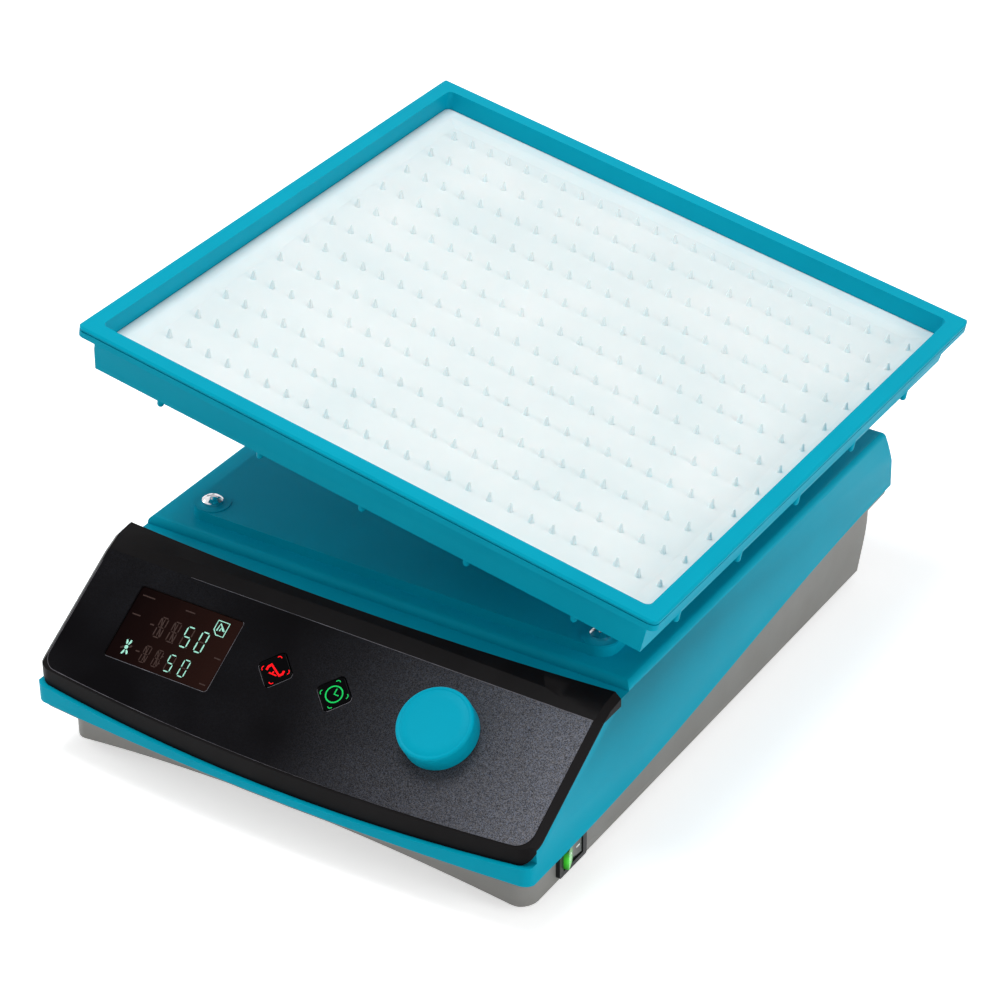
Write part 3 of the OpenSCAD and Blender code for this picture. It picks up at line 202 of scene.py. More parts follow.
def speckledFilmWithPaintedSheen(name, tone):
    # polyester overlay printed black with a pearl grain: every cell has its own brightness. Towards the right
    # end the grain is painted brighter and brighter, a painted reflection of the light that the film's gloss
    # shows there.
    # Its share is the way along, raised to a power, plus a slow drift
    material, tree, shader, place = startMaterial(name, IOR=1.58, Specular_IOR_Level=tone["gloss"])
    grain = addNode(tree, "ShaderNodeTexVoronoi", {"Scale": perMetre(tone["grainMm"]), "Randomness": 1.0},
                    {"Vector": place})
    channels = addNode(tree, "ShaderNodeSeparateColor", links={"Color": grain.outputs["Color"]})
    axes = addNode(tree, "ShaderNodeSeparateXYZ", links={"Vector": place})
    drift = addNode(tree, "ShaderNodeTexNoise", {"Scale": perMetre(tone["driftMm"]), "Detail": 2.0},
                    {"Vector": place})
    along = addNode(tree, "ShaderNodeMapRange",
                    {"From Min": tone["sheenFromMm"] * mm, "From Max": tone["sheenToMm"] * mm},
                    {"Value": axes.outputs["X"]})
    paintedSheenRise = addNode(tree, "ShaderNodeMath", {"operation": "POWER", 1: tone["power"]},
                      {0: along.outputs["Result"]})
    paintedSheenDrift = addNode(tree, "ShaderNodeMath", {"operation": "MULTIPLY_ADD", 1: 0.16, 2: -0.06},
                     {0: drift.outputs["Fac"]})
    share = addNode(tree, "ShaderNodeMath", {"operation": "ADD", "use_clamp": True},
                    {0: paintedSheenRise.outputs[0], 1: paintedSheenDrift.outputs[0]})
    spark = addNode(tree, "ShaderNodeMapRange", {"To Min": 1 - tone["contrast"], "To Max": 1.0},
                    {"Value": channels.outputs["Red"]})
    # painted reflection: each cell's spark is scaled by the painted sheen share, so the grain is painted
    # lighter towards the right end
    bright = addNode(tree, "ShaderNodeMath", {"operation": "MULTIPLY"},
                     {0: spark.outputs["Result"], 1: share.outputs[0]})
    pearl = addNode(tree, "ShaderNodeMix",
                    {"data_type": "RGBA", 6: linear(tone["flake"]), 7: linear(tone["warmFlake"])},
                    {0: channels.outputs["Green"]})
    colour = addNode(tree, "ShaderNodeMix", {"data_type": "RGBA", 6: linear(tone["ink"])},
                     {0: bright.outputs[0], 7: pearl.outputs[2]})
    tree.links.new(colour.outputs[2], shader.inputs["Base Color"])
    gloss = addNode(tree, "ShaderNodeMapRange", {"To Min": tone["rough"], "To Max": tone["rough"] - 0.1},
                    {"Value": bright.outputs[0]})
    tree.links.new(gloss.outputs["Result"], shader.inputs["Roughness"])
    texture = addNode(tree, "ShaderNodeTexNoise", {"Scale": perMetre(tone["textureMm"]), "Detail": 2.0},
                      {"Vector": place})
    bump = addNode(tree, "ShaderNodeBump", {"Strength": 0.25, "Distance": 0.03 * mm},
                   {"Height": texture.outputs["Fac"]})
    tree.links.new(bump.outputs["Normal"], shader.inputs["Normal"])
    return material


# the grain is drawn at 0.3 mm, a little coarser than the real pearl pigment, so that it shows
# the sheen numbers paint a reflection that brightens the grain from x = -12 mm to x = 122 mm, rising with the
# power 1.6
panelFilmInkAndPaintedSheen = speckledFilmWithPaintedSheen("polyesterFilmPearlBlack", {
    "ink": "#040305", "flake": "#7f8698", "warmFlake": "#84807f", "grainMm": 0.3, "contrast": 0.85,
    "driftMm": 60, "textureMm": 0.5, "sheenFromMm": -12, "sheenToMm": 122, "power": 1.6, "rough": 0.34, "gloss": 0.025})


def tintedGlass(name, tone):
    # smoked acrylic window: brown-black, darker at the left and lighter towards the right, glossy
    material, tree, shader, place = startMaterial(name, IOR=1.49, Specular_IOR_Level=0.02)
    axes = addNode(tree, "ShaderNodeSeparateXYZ", links={"Vector": place})
    across = addNode(tree, "ShaderNodeMapRange",
                     {"From Min": tone["left"] * mm, "From Max": tone["right"] * mm},
                     {"Value": axes.outputs["X"]})
    smoke = addNode(tree, "ShaderNodeTexNoise", {"Scale": perMetre(tone["smokeMm"]), "Detail": 3.0},
                    {"Vector": place})
    sway = addNode(tree, "ShaderNodeMath", {"operation": "MULTIPLY_ADD", 1: 0.25, 2: -0.12},
                   {0: smoke.outputs["Fac"]})
    along = addNode(tree, "ShaderNodeMath", {"operation": "ADD"},
                    {0: across.outputs["Result"], 1: sway.outputs[0]})
    ramp = addNode(tree, "ShaderNodeValToRGB", links={"Fac": along.outputs[0]})
    first, last = ramp.color_ramp.elements
    first.color, last.color = linear(tone["dark"]), linear(tone["light"])
    tree.links.new(ramp.outputs["Color"], shader.inputs["Base Color"])
    gloss = addNode(tree, "ShaderNodeMapRange", {"To Min": 0.08, "To Max": 0.16},
                    {"Value": smoke.outputs["Fac"]})
    tree.links.new(gloss.outputs["Result"], shader.inputs["Roughness"])
    return material


windowGlass = tintedGlass("smokedAcrylicWindow", {
    "dark": "#0c0303", "light": "#25130f", "left": -104, "right": -50, "smokeMm": 9})


def printedInk(name, tone):
    # screen-printed or lit mark: even colour with the slight unevenness of the ink
    material, tree, shader, place = startMaterial(
        name, IOR=1.5, Specular_IOR_Level=0.1, Emission_Strength=tone["glow"],
        Emission_Color=linear(tone["light"]))
    dots = mottledColour(tree, shader, place, tone, tone["dotMm"], 2.0)
    gloss = addNode(tree, "ShaderNodeMapRange", {"To Min": tone["rough"], "To Max": tone["rough"] + 0.1},
                    {"Value": dots})
    tree.links.new(gloss.outputs["Result"], shader.inputs["Roughness"])
    return material


litSegment = printedInk("litSegmentGlow", {
    "dark": "#6fae9c", "light": "#9fd8c4", "glow": 0.45, "dotMm": 0.6, "rough": 0.3})
ghostSegment = printedInk("unlitSegment", {
    "dark": "#372622", "light": "#45342f", "glow": 0.0, "dotMm": 0.6, "rough": 0.3})
runRed = printedInk("backlitRedMark", {
    "dark": "#e3000f", "light": "#ff0a14", "glow": 0.5, "dotMm": 0.5, "rough": 0.3})
timerGreen = printedInk("backlitGreenMark", {
    "dark": "#0aa84b", "light": "#0fc25a", "glow": 0.4, "dotMm": 0.5, "rough": 0.3})
markWhite = printedInk("padPrintedWhite", {
    "dark": "#dfe6e2", "light": "#f4faf6", "glow": 0.15, "dotMm": 0.4, "rough": 0.4})
# painted highlight: the cut edges of clear sheet are drawn as a thin pale line where they catch the light
paintedEdgeHighlight = printedInk("paintedCutEdgeHighlight", {
    "dark": "#4c4a4f", "light": "#77757b", "glow": 0.0, "dotMm": 9, "rough": 0.25})


def litPolycarbonate(name, tone):
    # clear green rocker with a lamp inside: bright near the lamp, falling off to almost black
    material, tree, shader, place = startMaterial(
        name, IOR=1.58, Roughness=0.14, Emission_Strength=tone["glow"])
    centred = addNode(tree, "ShaderNodeMapping", {"Location": [-c * mm for c in tone["middle"]]},
                      {"Vector": place})
    far = addNode(tree, "ShaderNodeVectorMath", {"operation": "LENGTH"}, {0: centred.outputs["Vector"]})
    fall = addNode(tree, "ShaderNodeMapRange", {"From Min": 0.0, "From Max": tone["reachMm"] * mm},
                   {"Value": far.outputs["Value"]})
    wave = addNode(tree, "ShaderNodeTexNoise", {"Scale": perMetre(tone["waveMm"]), "Detail": 2.0},
                   {"Vector": place})
    mixed = addNode(tree, "ShaderNodeMath", {"operation": "MULTIPLY_ADD", 1: 0.3},
                    {0: wave.outputs["Fac"], 2: fall.outputs["Result"]})
    ramp = addNode(tree, "ShaderNodeValToRGB", links={"Fac": mixed.outputs[0]})
    first, last = ramp.color_ramp.elements
    first.position, last.position = 0.15, 1.0
    first.color, last.color = linear(tone["near"]), linear(tone["away"])
    tree.links.new(ramp.outputs["Color"], shader.inputs["Base Color"])
    tree.links.new(ramp.outputs["Color"], shader.inputs["Emission Color"])
    return material


rockerGreen = litPolycarbonate("litGreenPolycarbonate", {
    "near": "#4ee43c", "away": "#04160f", "middle": (115.5, -131.5, 13.0), "reachMm": 7.5, "waveMm": 3,
    "glow": 0.55})


def solderedBoard(name, tone):
    # fibreglass board: green lacquer over copper tracks that run in straight lanes
    material, tree, shader, place = startMaterial(name, IOR=1.5, Roughness=0.36)
    lanes = addNode(tree, "ShaderNodeTexBrick", {
        "Scale": perMetre(tone["laneMm"]), "Mortar Size": 0.09, "Brick Width": 2.6, "Row Height": 0.5,
        "Color1": linear(tone["mask"]), "Color2": linear(tone["maskDark"]), "Mortar": linear(tone["track"])},
        {"Vector": place})
    tree.links.new(lanes.outputs["Color"], shader.inputs["Base Color"])
    bump = addNode(tree, "ShaderNodeBump", {"Strength": 0.4, "Distance": 0.035 * mm},
                   {"Height": lanes.outputs["Fac"]})
    tree.links.new(bump.outputs["Normal"], shader.inputs["Normal"])
    return material


boardGreen = solderedBoard("fibreglassBoardGreen", {
    "laneMm": 4, "mask": "#1d6a3a", "maskDark": "#195f33", "track": "#2c8650"})

finishOf = {"teal_plastic": tealAbs, "grey_plastic": greyAbs, "black_panel": panelAbs, "silicone": silicone,
            "steel": zincSteel, "dark_steel": darkSteel, "brass": brassTurned, "chrome_screw": chromePlate,
            "rubber": rubber, "board": boardGreen, "dark_plastic": innerDark, "display_glass": windowGlass,
            "switch_green": rockerGreen, "black_plastic": socketBlack}
for name, node in nodes.items():
    finish = keyBlack if name in ("run_key", "timer_key") else finishOf[slotOf[name]]
    for i in range(len(node.material_slots)):
        node.material_slots[i].material = finish
print("materials on", len(nodes), "nodes")


# ---- making pieces ----
cleanSettings = {"weldMm": 0.001, "joinMm": 0.002, "flatDeg": 0.05, "cutMm": 0.0001}
strokeSettings = {"leastMiter": 0.5, "barTaper": 0.14, "barTip": 0.25}


def finishPiece(piece, material, body):
    piece.data.materials.clear()
    piece.data.materials.append(material)
    scene.collection.objects.link(piece)
    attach(piece, body)
    return piece


def pointsOf(mesh):
    # x, y and z of all the mesh's points, in millimetres
    points = np.empty(len(mesh.vertices) * 3)
    mesh.vertices.foreach_get("co", points)
    return points.reshape(-1, 3).T / mm


def movePoints(mesh, x, y, z):
    mesh.vertices.foreach_set("co", (np.stack([x, y, z], axis=1) * mm).ravel())


def gridFaces(rows, cols, closeCols=False, start=0):
    # quads between neighbouring points of a grid; closed grids join their last column to the first
    last = cols if closeCols else cols - 1
    r, c = np.meshgrid(np.arange(rows - 1), np.arange(last), indexing="ij")
    n = (c + 1) % cols
    corners = [r * cols + c, r * cols + n, (r + 1) * cols + n, (r + 1) * cols + c]
    return start + np.stack(corners, axis=-1).reshape(-1, 4)


def meshPiece(name, points, faces, smooth=True):
    mesh = bpy.data.meshes.new(name)
    mesh.from_pydata(np.asarray(points).reshape(-1, 3).tolist(), [], [list(map(int, face)) for face in faces])
    work = bmesh.new()
    work.from_mesh(mesh)
    bmesh.ops.remove_doubles(work, verts=work.verts, dist=cleanSettings["weldMm"] * mm)
    bmesh.ops.recalc_face_normals(work, faces=work.faces)
    work.to_mesh(mesh)
    work.free()
    mesh.polygons.foreach_set("use_smooth", np.full(len(mesh.polygons), smooth))
    mesh.update()
    return bpy.data.objects.new(name, mesh)


def thicken(piece, thickMm):
    # a flat sheet gets its thickness, half to each side
    solid = piece.modifiers.new("sheetThickness", "SOLIDIFY")
    solid.thickness = thickMm * mm
    solid.offset = 0


def strokes(name, paths, settings, place, material, body):
    # ink strokes: each path is carried as a flat band of its own width, with square or pointed ends. Half the
    # width goes to each side of the path, across the mean of the directions before and after each point
    points, faces, start = [], [], 0
    for path, width, closed in paths:
        path = np.asarray(path, float)
        ahead = np.roll(path, -1, axis=0) - path if closed else np.gradient(path, axis=0)
        behind = path - np.roll(path, 1, axis=0) if closed else ahead
        a = ahead / np.linalg.norm(ahead, axis=1, keepdims=True)
        b = behind / np.linalg.norm(behind, axis=1, keepdims=True)
        along = a + b if closed else a
        along = along / np.linalg.norm(along, axis=1, keepdims=True)
        miter = 1 / np.clip(np.einsum("ij,ij->i", along, a), strokeSettings["leastMiter"], 1)
        reach = np.broadcast_to(width, len(path)) / 2 * miter
        side = np.stack([-along[:, 1], along[:, 0]], axis=1) * reach[:, None]
        ring = np.stack([path - side, path + side], axis=1)
        grid = np.concatenate([ring, np.full((len(path), 2, 1), settings["lift"])], axis=2)
        if closed:
            grid = np.concatenate([grid, grid[:1]], axis=0)
        points.append(grid.reshape(-1, 3))
        faces.append(gridFaces(len(grid), 2, start=start))
        start += len(grid) * 2
    piece = meshPiece(name, place(np.concatenate(points)), np.concatenate(faces), smooth=False)
    thicken(piece, settings["thick"])
    return finishPiece(piece, material, body)


def bar(x0, y0, x1, y1, width):
    # a segment of a digit: full width along its middle, narrowing to a blunt point at both ends
    taper, tip = strokeSettings["barTaper"], strokeSettings["barTip"]
    t = np.array([0, taper, 1 - taper, 1.0])[:, None]
    start, end = np.array([x0, y0]), np.array([x1, y1])
    return start + (end - start) * t, np.array([tip, 1, 1, tip]) * width, False


def arc(cx, cy, radius, fromDeg, toDeg, steps=24):
    a = np.radians(np.linspace(fromDeg, toDeg, steps))
    return np.stack([cx + radius * np.cos(a), cy + radius * np.sin(a)], axis=1)


panelPlace = {"midX": -5.1026, "creaseY": -116.6, "creaseZ": 75.4, "slopeDeg": 31.7}


def onPanel(points):
    # panel millimetres (right, up the slope, out of the face) to the row's metres: turned about X by the slope
    a = math.radians(panelPlace["slopeDeg"])
    right, up, out = np.moveaxis(np.asarray(points, float), -1, 0)
    y = panelPlace["creaseY"] + up * math.cos(a) - out * math.sin(a)
    z = panelPlace["creaseZ"] + up * math.sin(a) + out * math.cos(a)
    return mm * np.stack([right + panelPlace["midX"], y, z], axis=-1)


# ---- panel lip ----
lipSettings = {"half": 125.4, "radius": 8.0, "middleY": -160.96, "rearY": -157.5, "side": 4.4,
               "fromDeg": 8, "toDeg": 82, "least": 1e-6}


def easeLipCorners(mesh):
    # the lip under the panel's face gets lower round each front corner: a point's depth below the face, beyond
    # the side's own depth, is scaled by one minus a smooth step of its angle round the corner circle
    s = lipSettings
    x, y, z = pointsOf(mesh)
    face = panelPlace["creaseZ"] + (y - panelPlace["creaseY"]) * math.tan(math.radians(panelPlace["slopeDeg"]))
    across = np.abs(x - panelPlace["midX"]) - (s["half"] - s["radius"])
    ahead = s["middleY"] - y
    turn = np.degrees(np.arctan2(np.maximum(across, 0), np.maximum(ahead, s["least"])))
    t = np.clip((turn - s["fromDeg"]) / (s["toDeg"] - s["fromDeg"]), 0, 1)
    deep = face - z
    eased = face - s["side"] - (deep - s["side"]) * (1 - t * t * (3 - 2 * t))
    movePoints(mesh, x, y, np.where((across > 0) & (y < s["rearY"]) & (deep > s["side"]), eased, z))


# ---- tub arch ----
archSettings = {"radius": 578.0, "crown": 14.9, "oldRadius": 650.0, "oldCrown": 12.3, "squeeze": 0.29,
                "foot": 4.0, "low": 5.0, "still": 20.0, "perHeight": 1.36, "spare": 3.0, "ramp": 4.0,
                "halfWide": 110, "columns": 41, "frontGap": 3, "rearY": -128.0, "rows": 12, "cutTop": 35.0}


def archHeight(x, crown, radius):
    # a flat arc: the crown less x squared over twice the radius, and never lower than the foot
    return np.maximum(crown - (x - panelPlace["midX"]) ** 2 / (2 * radius), archSettings["foot"])


def deepenArch(work, name):
    # the shallow arch of the tub's front becomes a deep one: what was under the old arc is squeezed together
    # under the new one, what was over it is spread up to a height that stays still, as far back as a look
    # from above reaches under it, and a short ramp leads down again. The front is first cut into small fields
    s = archSettings
    mesh = bpy.data.meshes.new(name + "Work")
    work.to_mesh(mesh)
    x, y, z = pointsOf(mesh)
    front = float(np.min(y[z < s["low"]]))
    cuts = [((panelPlace["midX"] + column, 0, 0), (1, 0, 0))
            for column in np.linspace(-s["halfWide"], s["halfWide"], s["columns"])]
    cuts += [((0, row, 0), (0, 1, 0)) for row in np.linspace(front + s["frontGap"], s["rearY"], s["rows"])]
    cuts.append(((0, 0, s["still"]), (0, 0, 1)))
    for place, across in cuts:
        near = [face for face in work.faces if face.calc_center_bounds().z < s["cutTop"] * mm
                and min(vert.co.y for vert in face.verts) < s["rearY"] * mm]
        parts = dict.fromkeys(part for face in near for part in (face, *face.edges, *face.verts))
        bmesh.ops.bisect_plane(work, geom=list(parts), dist=cleanSettings["cutMm"] * mm,
                               plane_co=Vector(place) * mm, plane_no=across)
    work.to_mesh(mesh)
    x, y, z = pointsOf(mesh)
    old = archHeight(x, s["oldCrown"], s["oldRadius"])
    arch = archHeight(x, s["crown"], s["radius"])
    under = arch - s["squeeze"] * (old - z)
    over = arch + (z - old) / (s["still"] - old) * (s["still"] - arch)
    rear = front + arch * s["perHeight"] + s["spare"]
    share = np.clip((rear + s["ramp"] - y) / s["ramp"], 0, 1) * (z < s["still"])
    movePoints(mesh, x, y, z + (np.where(z < old, under, over) - z) * share)
    work.clear()
    work.from_mesh(mesh)
    bpy.data.meshes.remove(mesh)


# ---- rounded edges ----
edgeSettings = {
    "platform_tray": {"roundMm": 0.35, "steps": 2, "sharpDeg": 38},
    "top_cover": {"roundMm": 0.9, "steps": 3, "sharpDeg": 38},
    "control_panel": {"roundMm": 0.35, "steps": 2, "sharpDeg": 24, "lipEased": True},
    "lower_housing": {"roundMm": 0.3, "steps": 2, "sharpDeg": 40, "archDeep": True},
    "run_key": {"roundMm": 0.45, "steps": 3, "sharpDeg": 40},
    "timer_key": {"roundMm": 0.45, "steps": 3, "sharpDeg": 40},
    "display_window": {"roundMm": 0.35, "steps": 3, "sharpDeg": 40},
    "power_rocker": {"roundMm": 0.35, "steps": 3, "sharpDeg": 30},
    "power_switch": {"roundMm": 0.3, "steps": 2, "sharpDeg": 40},
    "power_inlet": {"roundMm": 0.4, "steps": 2, "sharpDeg": 40},
}


def softened(name, settings):
    # the node's own form with its sharp edges rounded: doubles merged, flat triangles joined, then a bevel
    sharp = math.radians(settings["sharpDeg"])
    work = bmesh.new()
    work.from_mesh(nodes[name].data)
    bmesh.ops.remove_doubles(work, verts=work.verts, dist=cleanSettings["joinMm"] * mm)
    if settings.get("archDeep"):
        deepenArch(work, name)
    bmesh.ops.dissolve_limit(work, angle_limit=math.radians(cleanSettings["flatDeg"]),
                             verts=work.verts, edges=work.edges)
    for face in work.faces:
        face.smooth = True
    for edge in work.edges:
        edge.smooth = edge.is_manifold and edge.calc_face_angle(0) < sharp
    mesh = bpy.data.meshes.new(name + "Soft")
    work.to_mesh(mesh)
    work.free()
    if settings.get("lipEased"):
        easeLipCorners(mesh)
    piece = bpy.data.objects.new(name + "Soft", mesh)
    bevel = piece.modifiers.new("roundedEdges", "BEVEL")
    bevel.width = settings["roundMm"] * mm
    bevel.segments = settings["steps"]
    bevel.limit_method = "ANGLE"
    bevel.angle_limit = sharp
    bevel.harden_normals = True
    bevel.use_clamp_overlap = True
    bevel.miter_outer = "MITER_ARC"
    finishPiece(piece, nodes[name].material_slots[0].material, bodyOf[name])
    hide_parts(name)
    return piece


for name, settings in edgeSettings.items():
    piece = softened(name, settings)
    print("rounded", name, len(piece.data.polygons), "faces")

# ---- panel film ----
filmSettings = {
    "halfWide": 122.2, "top": -0.5, "frontMm": -66.2, "bowMm": 6.1, "bowHalf": 122, "cornerRound": 8.0,
    "lift": 0.12, "thick": 0.24, "seams": (-122.2, -36.0, -3.6, 30.0, 122.2),
    "sideSteps": 60, "acrossSteps": 80, "denser": 12, "rings": 5,
    "windowAt": (-70.5, -28.8), "windowHalf": (27.2, 17.7), "windowRound": 1.6, "windowSteps": 9,
    "keysAt": ((-18.8, -26.5), (11.5, -27.4)), "keyHalf": 6.7, "keyRound": 2.3, "keyTurn": 45, "keySteps": 7,
    "knobAt": (64.3, -27.6), "knobHole": 5.0, "knobSteps": 48}


def filmFront(x):
    # the film's front edge follows the bow of the panel: a parabola that falls back towards the ends
    return filmSettings["frontMm"] + filmSettings["bowMm"] * (x / filmSettings["bowHalf"]) ** 2


def roundCorner(points):
    # front corners of the film: a point outside the corner's circle is drawn in to it, along the line to the
    # circle's middle
    radius, half = filmSettings["cornerRound"], filmSettings["halfWide"]
    x, y = points[:, 0], points[:, 1]
    middleY = filmFront(np.full(len(x), half - radius)) + radius
    middle = np.stack([np.copysign(half - radius, x), middleY], axis=1)
    away = points - middle
    far = np.linalg.norm(away, axis=1)
    outside = (np.abs(x) > half - radius) & (y < middle[:, 1]) & (far > radius)
    return np.where(outside[:, None], middle + away * (radius / np.maximum(far, radius))[:, None], points)


def roundedHole(half, radius, turnDeg, perCorner):
    # rounded rectangle: four quarter circles, from the upper right corner leftwards and round, then turned
    hx, hy = half
    loops = []
    for cx, cy, fromDeg in ((hx, hy, 0), (-hx, hy, 90), (-hx, -hy, 180), (hx, -hy, 270)):
        middle = np.array([cx - math.copysign(radius, cx), cy - math.copysign(radius, cy)])
        a = np.radians(fromDeg + np.linspace(0, 90, perCorner))
        loops.append(middle + radius * np.stack([np.cos(a), np.sin(a)], axis=1))
    t = math.radians(turnDeg)
    return np.concatenate(loops) @ np.array([[math.cos(t), math.sin(t)], [-math.sin(t), math.cos(t)]])


def filmCell(x0, x1, at, hole):
    # a patch between a hole and the edge of its cell: every point of the cell's edge is joined to the point of
    # the hole that lies in the same direction from the hole's middle, and the second parameter blends the two
    s = filmSettings
    top, sides, wide = s["top"], s["sideSteps"], s["acrossSteps"]
    side, across = np.linspace(0, 1, sides, endpoint=False), np.linspace(0, 1, wide, endpoint=False)
    left = np.stack([np.full(sides, x0), filmFront(x0) + (top - filmFront(x0)) * side], axis=1)
    upper = np.stack([x0 + (x1 - x0) * across, np.full(wide, top)], axis=1)
    right = np.stack([np.full(sides, x1), top + (filmFront(x1) - top) * side], axis=1)
    front = np.stack([x1 + (x0 - x1) * across, filmFront(x1 + (x0 - x1) * across)], axis=1)
    edge = roundCorner(np.concatenate([left, upper, right, front])) - np.array(at)
    steps = np.linspace(0, 1, s["denser"], endpoint=False)[:, None, None]
    dense = (hole + (np.roll(hole, -1, axis=0) - hole) * steps).transpose(1, 0, 2).reshape(-1, 2)
    holeAngle = np.arctan2(dense[:, 1], dense[:, 0])
    order = np.argsort(holeAngle)
    angle = np.arctan2(edge[:, 1], edge[:, 0])
    inner = np.interp(angle, holeAngle[order], np.linalg.norm(dense[order], axis=1), period=2 * math.pi)
    near = inner[:, None] * np.stack([np.cos(angle), np.sin(angle)], axis=1)
    blend = np.linspace(0, 1, s["rings"])[:, None, None]
    flat = np.array(at) + near + (edge - near) * blend
    return np.concatenate([flat, np.full((*flat.shape[:2], 1), s["lift"])], axis=2)


def makeFilm():
    s = filmSettings
    window = roundedHole(s["windowHalf"], s["windowRound"], 0, s["windowSteps"])
    keyHole = roundedHole((s["keyHalf"], s["keyHalf"]), s["keyRound"], s["keyTurn"], s["keySteps"])
    knobHole = arc(0, 0, s["knobHole"], 0, 360 - 360 / s["knobSteps"], s["knobSteps"])
    holes = [(s["windowAt"], window), *[(at, keyHole) for at in s["keysAt"]], (s["knobAt"], knobHole)]
    points, faces, start = [], [], 0
    for i, (at, hole) in enumerate(holes):
        grid = filmCell(s["seams"][i], s["seams"][i + 1], at, hole)
        points.append(grid.reshape(-1, 3))
        faces.append(gridFaces(grid.shape[0], grid.shape[1], closeCols=True, start=start))
        start += grid.shape[0] * grid.shape[1]
    piece = meshPiece("panelFilm", onPanel(np.concatenate(points)), np.concatenate(faces), smooth=False)
    thicken(piece, s["thick"])
    return finishPiece(piece, panelFilmInkAndPaintedSheen, "base")


filmEdgeHighlightSettings = {
    "lift": 0.2, "thick": 0.12, "wide": 0.3, "inset": 0.1, "sideShort": 6,
    # the front line is painted widest at the left and narrowest at the right, where the edge lies in shade;
    # the upper line is painted only on its lit right part, from rearFromX
    "sideSteps": 24, "frontSteps": 160, "frontWidths": (1.1, -0.5), "frontLimits": (0.1, 0.7),
    "rearFromX": -78, "rearSteps": 60, "rearWidths": (0.5, 1),
    # painted highlights on the holes of the keys, on their two lower sides where they catch the light: first
    # point, last point, share of width
    "keyGlints": ((11, 16, 0.5), (18, 27, 0.6))}


def makeFilmEdgeHighlight():
    # painted highlight on the cut edge of the film: a thin pale line along the right part of its upper edge
    # and another round its front, narrowing from left to right where the edge falls into shade
    s, film = filmEdgeHighlightSettings, filmSettings
    half = film["halfWide"] - s["inset"]
    side = np.linspace(film["top"] - s["sideShort"], filmFront(half), s["sideSteps"])
    x = np.linspace(-half, half, s["frontSteps"])
    front = np.concatenate([np.stack([np.full(s["sideSteps"], -half), side], axis=1),
                            np.stack([x, filmFront(x) + s["inset"]], axis=1)[1:-1],
                            np.stack([np.full(s["sideSteps"], half), side[::-1]], axis=1)])
    rear = np.stack([np.linspace(s["rearFromX"], half, s["rearSteps"]),
                     np.full(s["rearSteps"], film["top"] - s["inset"])], axis=1)
    frontWide = s["wide"] * np.clip(np.linspace(*s["frontWidths"], len(front)), *s["frontLimits"])
    paths = [(rear, np.linspace(*s["rearWidths"], s["rearSteps"]) * s["wide"], False),
             (roundCorner(front), frontWide, False)]
    half = film["keyHalf"] - s["inset"]
    hole = roundedHole((half, half), film["keyRound"], film["keyTurn"], film["keySteps"])
    for at in film["keysAt"]:
        paths += [(hole[first:last] + np.array(at), s["wide"] * share, False)
                  for first, last, share in s["keyGlints"]]
    strokes("panelFilmEdgeHighlight", paths, s, onPanel, paintedEdgeHighlight, "base")


makeFilm()
makeFilmEdgeHighlight()
print("panel film made")

# ---- display ----
displaySettings = {
    "lift": -0.16, "thick": 0.04, "cutShare": 0.6, "blankShare": 0.85, "text": ("", "", "5", "0"),
    "big": {"at": (-80.8, -73.9, -66.9, -59.3), "top": -21.5, "size": (3.5, 9.5), "bar": 0.6},
    "small": {"at": (-80.7, -74.4, -67.7, -60.4), "top": -35.8, "size": (3.0, 7.8), "bar": 0.5}}
# bars of a digit: a at the top, then clockwise to f, g across the middle; s, t and u are the slants and the
# upright of an unlit digit
segmentsOf = {"0": "abcdef", "5": "acdfg", "all": "abcdefg", "blank": "abcdefgstu"}
# the signs beside the digits, as places on the panel
signSettings = {
    "dashes": ((-84.6, -26.3), (-84.4, -39.6)), "dashLong": 2, "dashWide": 0.6,
    "dots": ((-70.2, -31.0), (-62.9, -31.0), (-70.9, -38.0), (-70.9, -41.5), (-63.9, -43.6)),
    "dotHalf": 0.3, "dotWide": 0.6,
    "rotorAt": (-89.4, -39.6), "hub": 0.45, "hubWide": 0.9, "hubEndDeg": 345,
    "litBlades": ((-0.6, 1.3, -1.3, 3.3), (0.3, 1.3, 0.8, 3.6), (-0.2, -1.3, -0.8, -3.5),
                  (0.7, -1.2, 1.8, -3.0)),
    "unlitBlades": ((-1.2, 0.1, -2.6, -1.0), (1.2, 0.2, 2.2, 1.4)),
    "bladeBend": 0.2, "bladeWidths": (0.5, 1.0, 0.7),
    "boxX": (-55.4, -49.6), "boxY": (-20.9, -14.3), "boxCut": 2.1, "boxWide": 0.5,
    "arrows": ((((-54.0, -19.0), (-53.6, -15.4), (-50.4, -18.4)), 0.75),
               (((-52.6, -18.8), (-52.4, -17.0), (-51.0, -18.4)), 0.6)),
    "captions": ((-95.2, -15.2, 6.5), (-95.2, -24.5, 4.2), (-48.4, -30.6, 3.4), (-48.6, -43.4, 3.0),
                 (-72.4, -15.2, 5.0)), "captionWide": 0.55,
    # the window's edge line, a painted highlight on its lit front and right side: how far in, how wide, and
    # from which to which of the corners' points
    "rimIn": 0.15, "rimWide": 0.24, "rimFrom": 24, "rimTo": 6, "rimLift": {"lift": 0.02, "thick": 0.1}}


def digitBars(x, top, size, width, which):
    w, h = size
    middle, bottom, right, centre = top - h / 2, top - h, x + w, x + w / 2
    cut = width * displaySettings["cutShare"]
    lines = {"a": (x + cut, top, right - cut, top), "b": (right, top - cut, right, middle + cut),
             "c": (right, middle - cut, right, bottom + cut), "d": (x + cut, bottom, right - cut, bottom),
             "e": (x, middle - cut, x, bottom + cut), "f": (x, top - cut, x, middle + cut),
             "g": (x + cut, middle, right - cut, middle),
             "s": (x + cut, top - cut, centre - cut / 2, middle + cut),
             "t": (centre + cut / 2, middle - cut, right - cut, bottom + cut),
             "u": (centre, top - cut, centre, bottom + cut)}
    return [bar(*lines[k], width) for k in which]


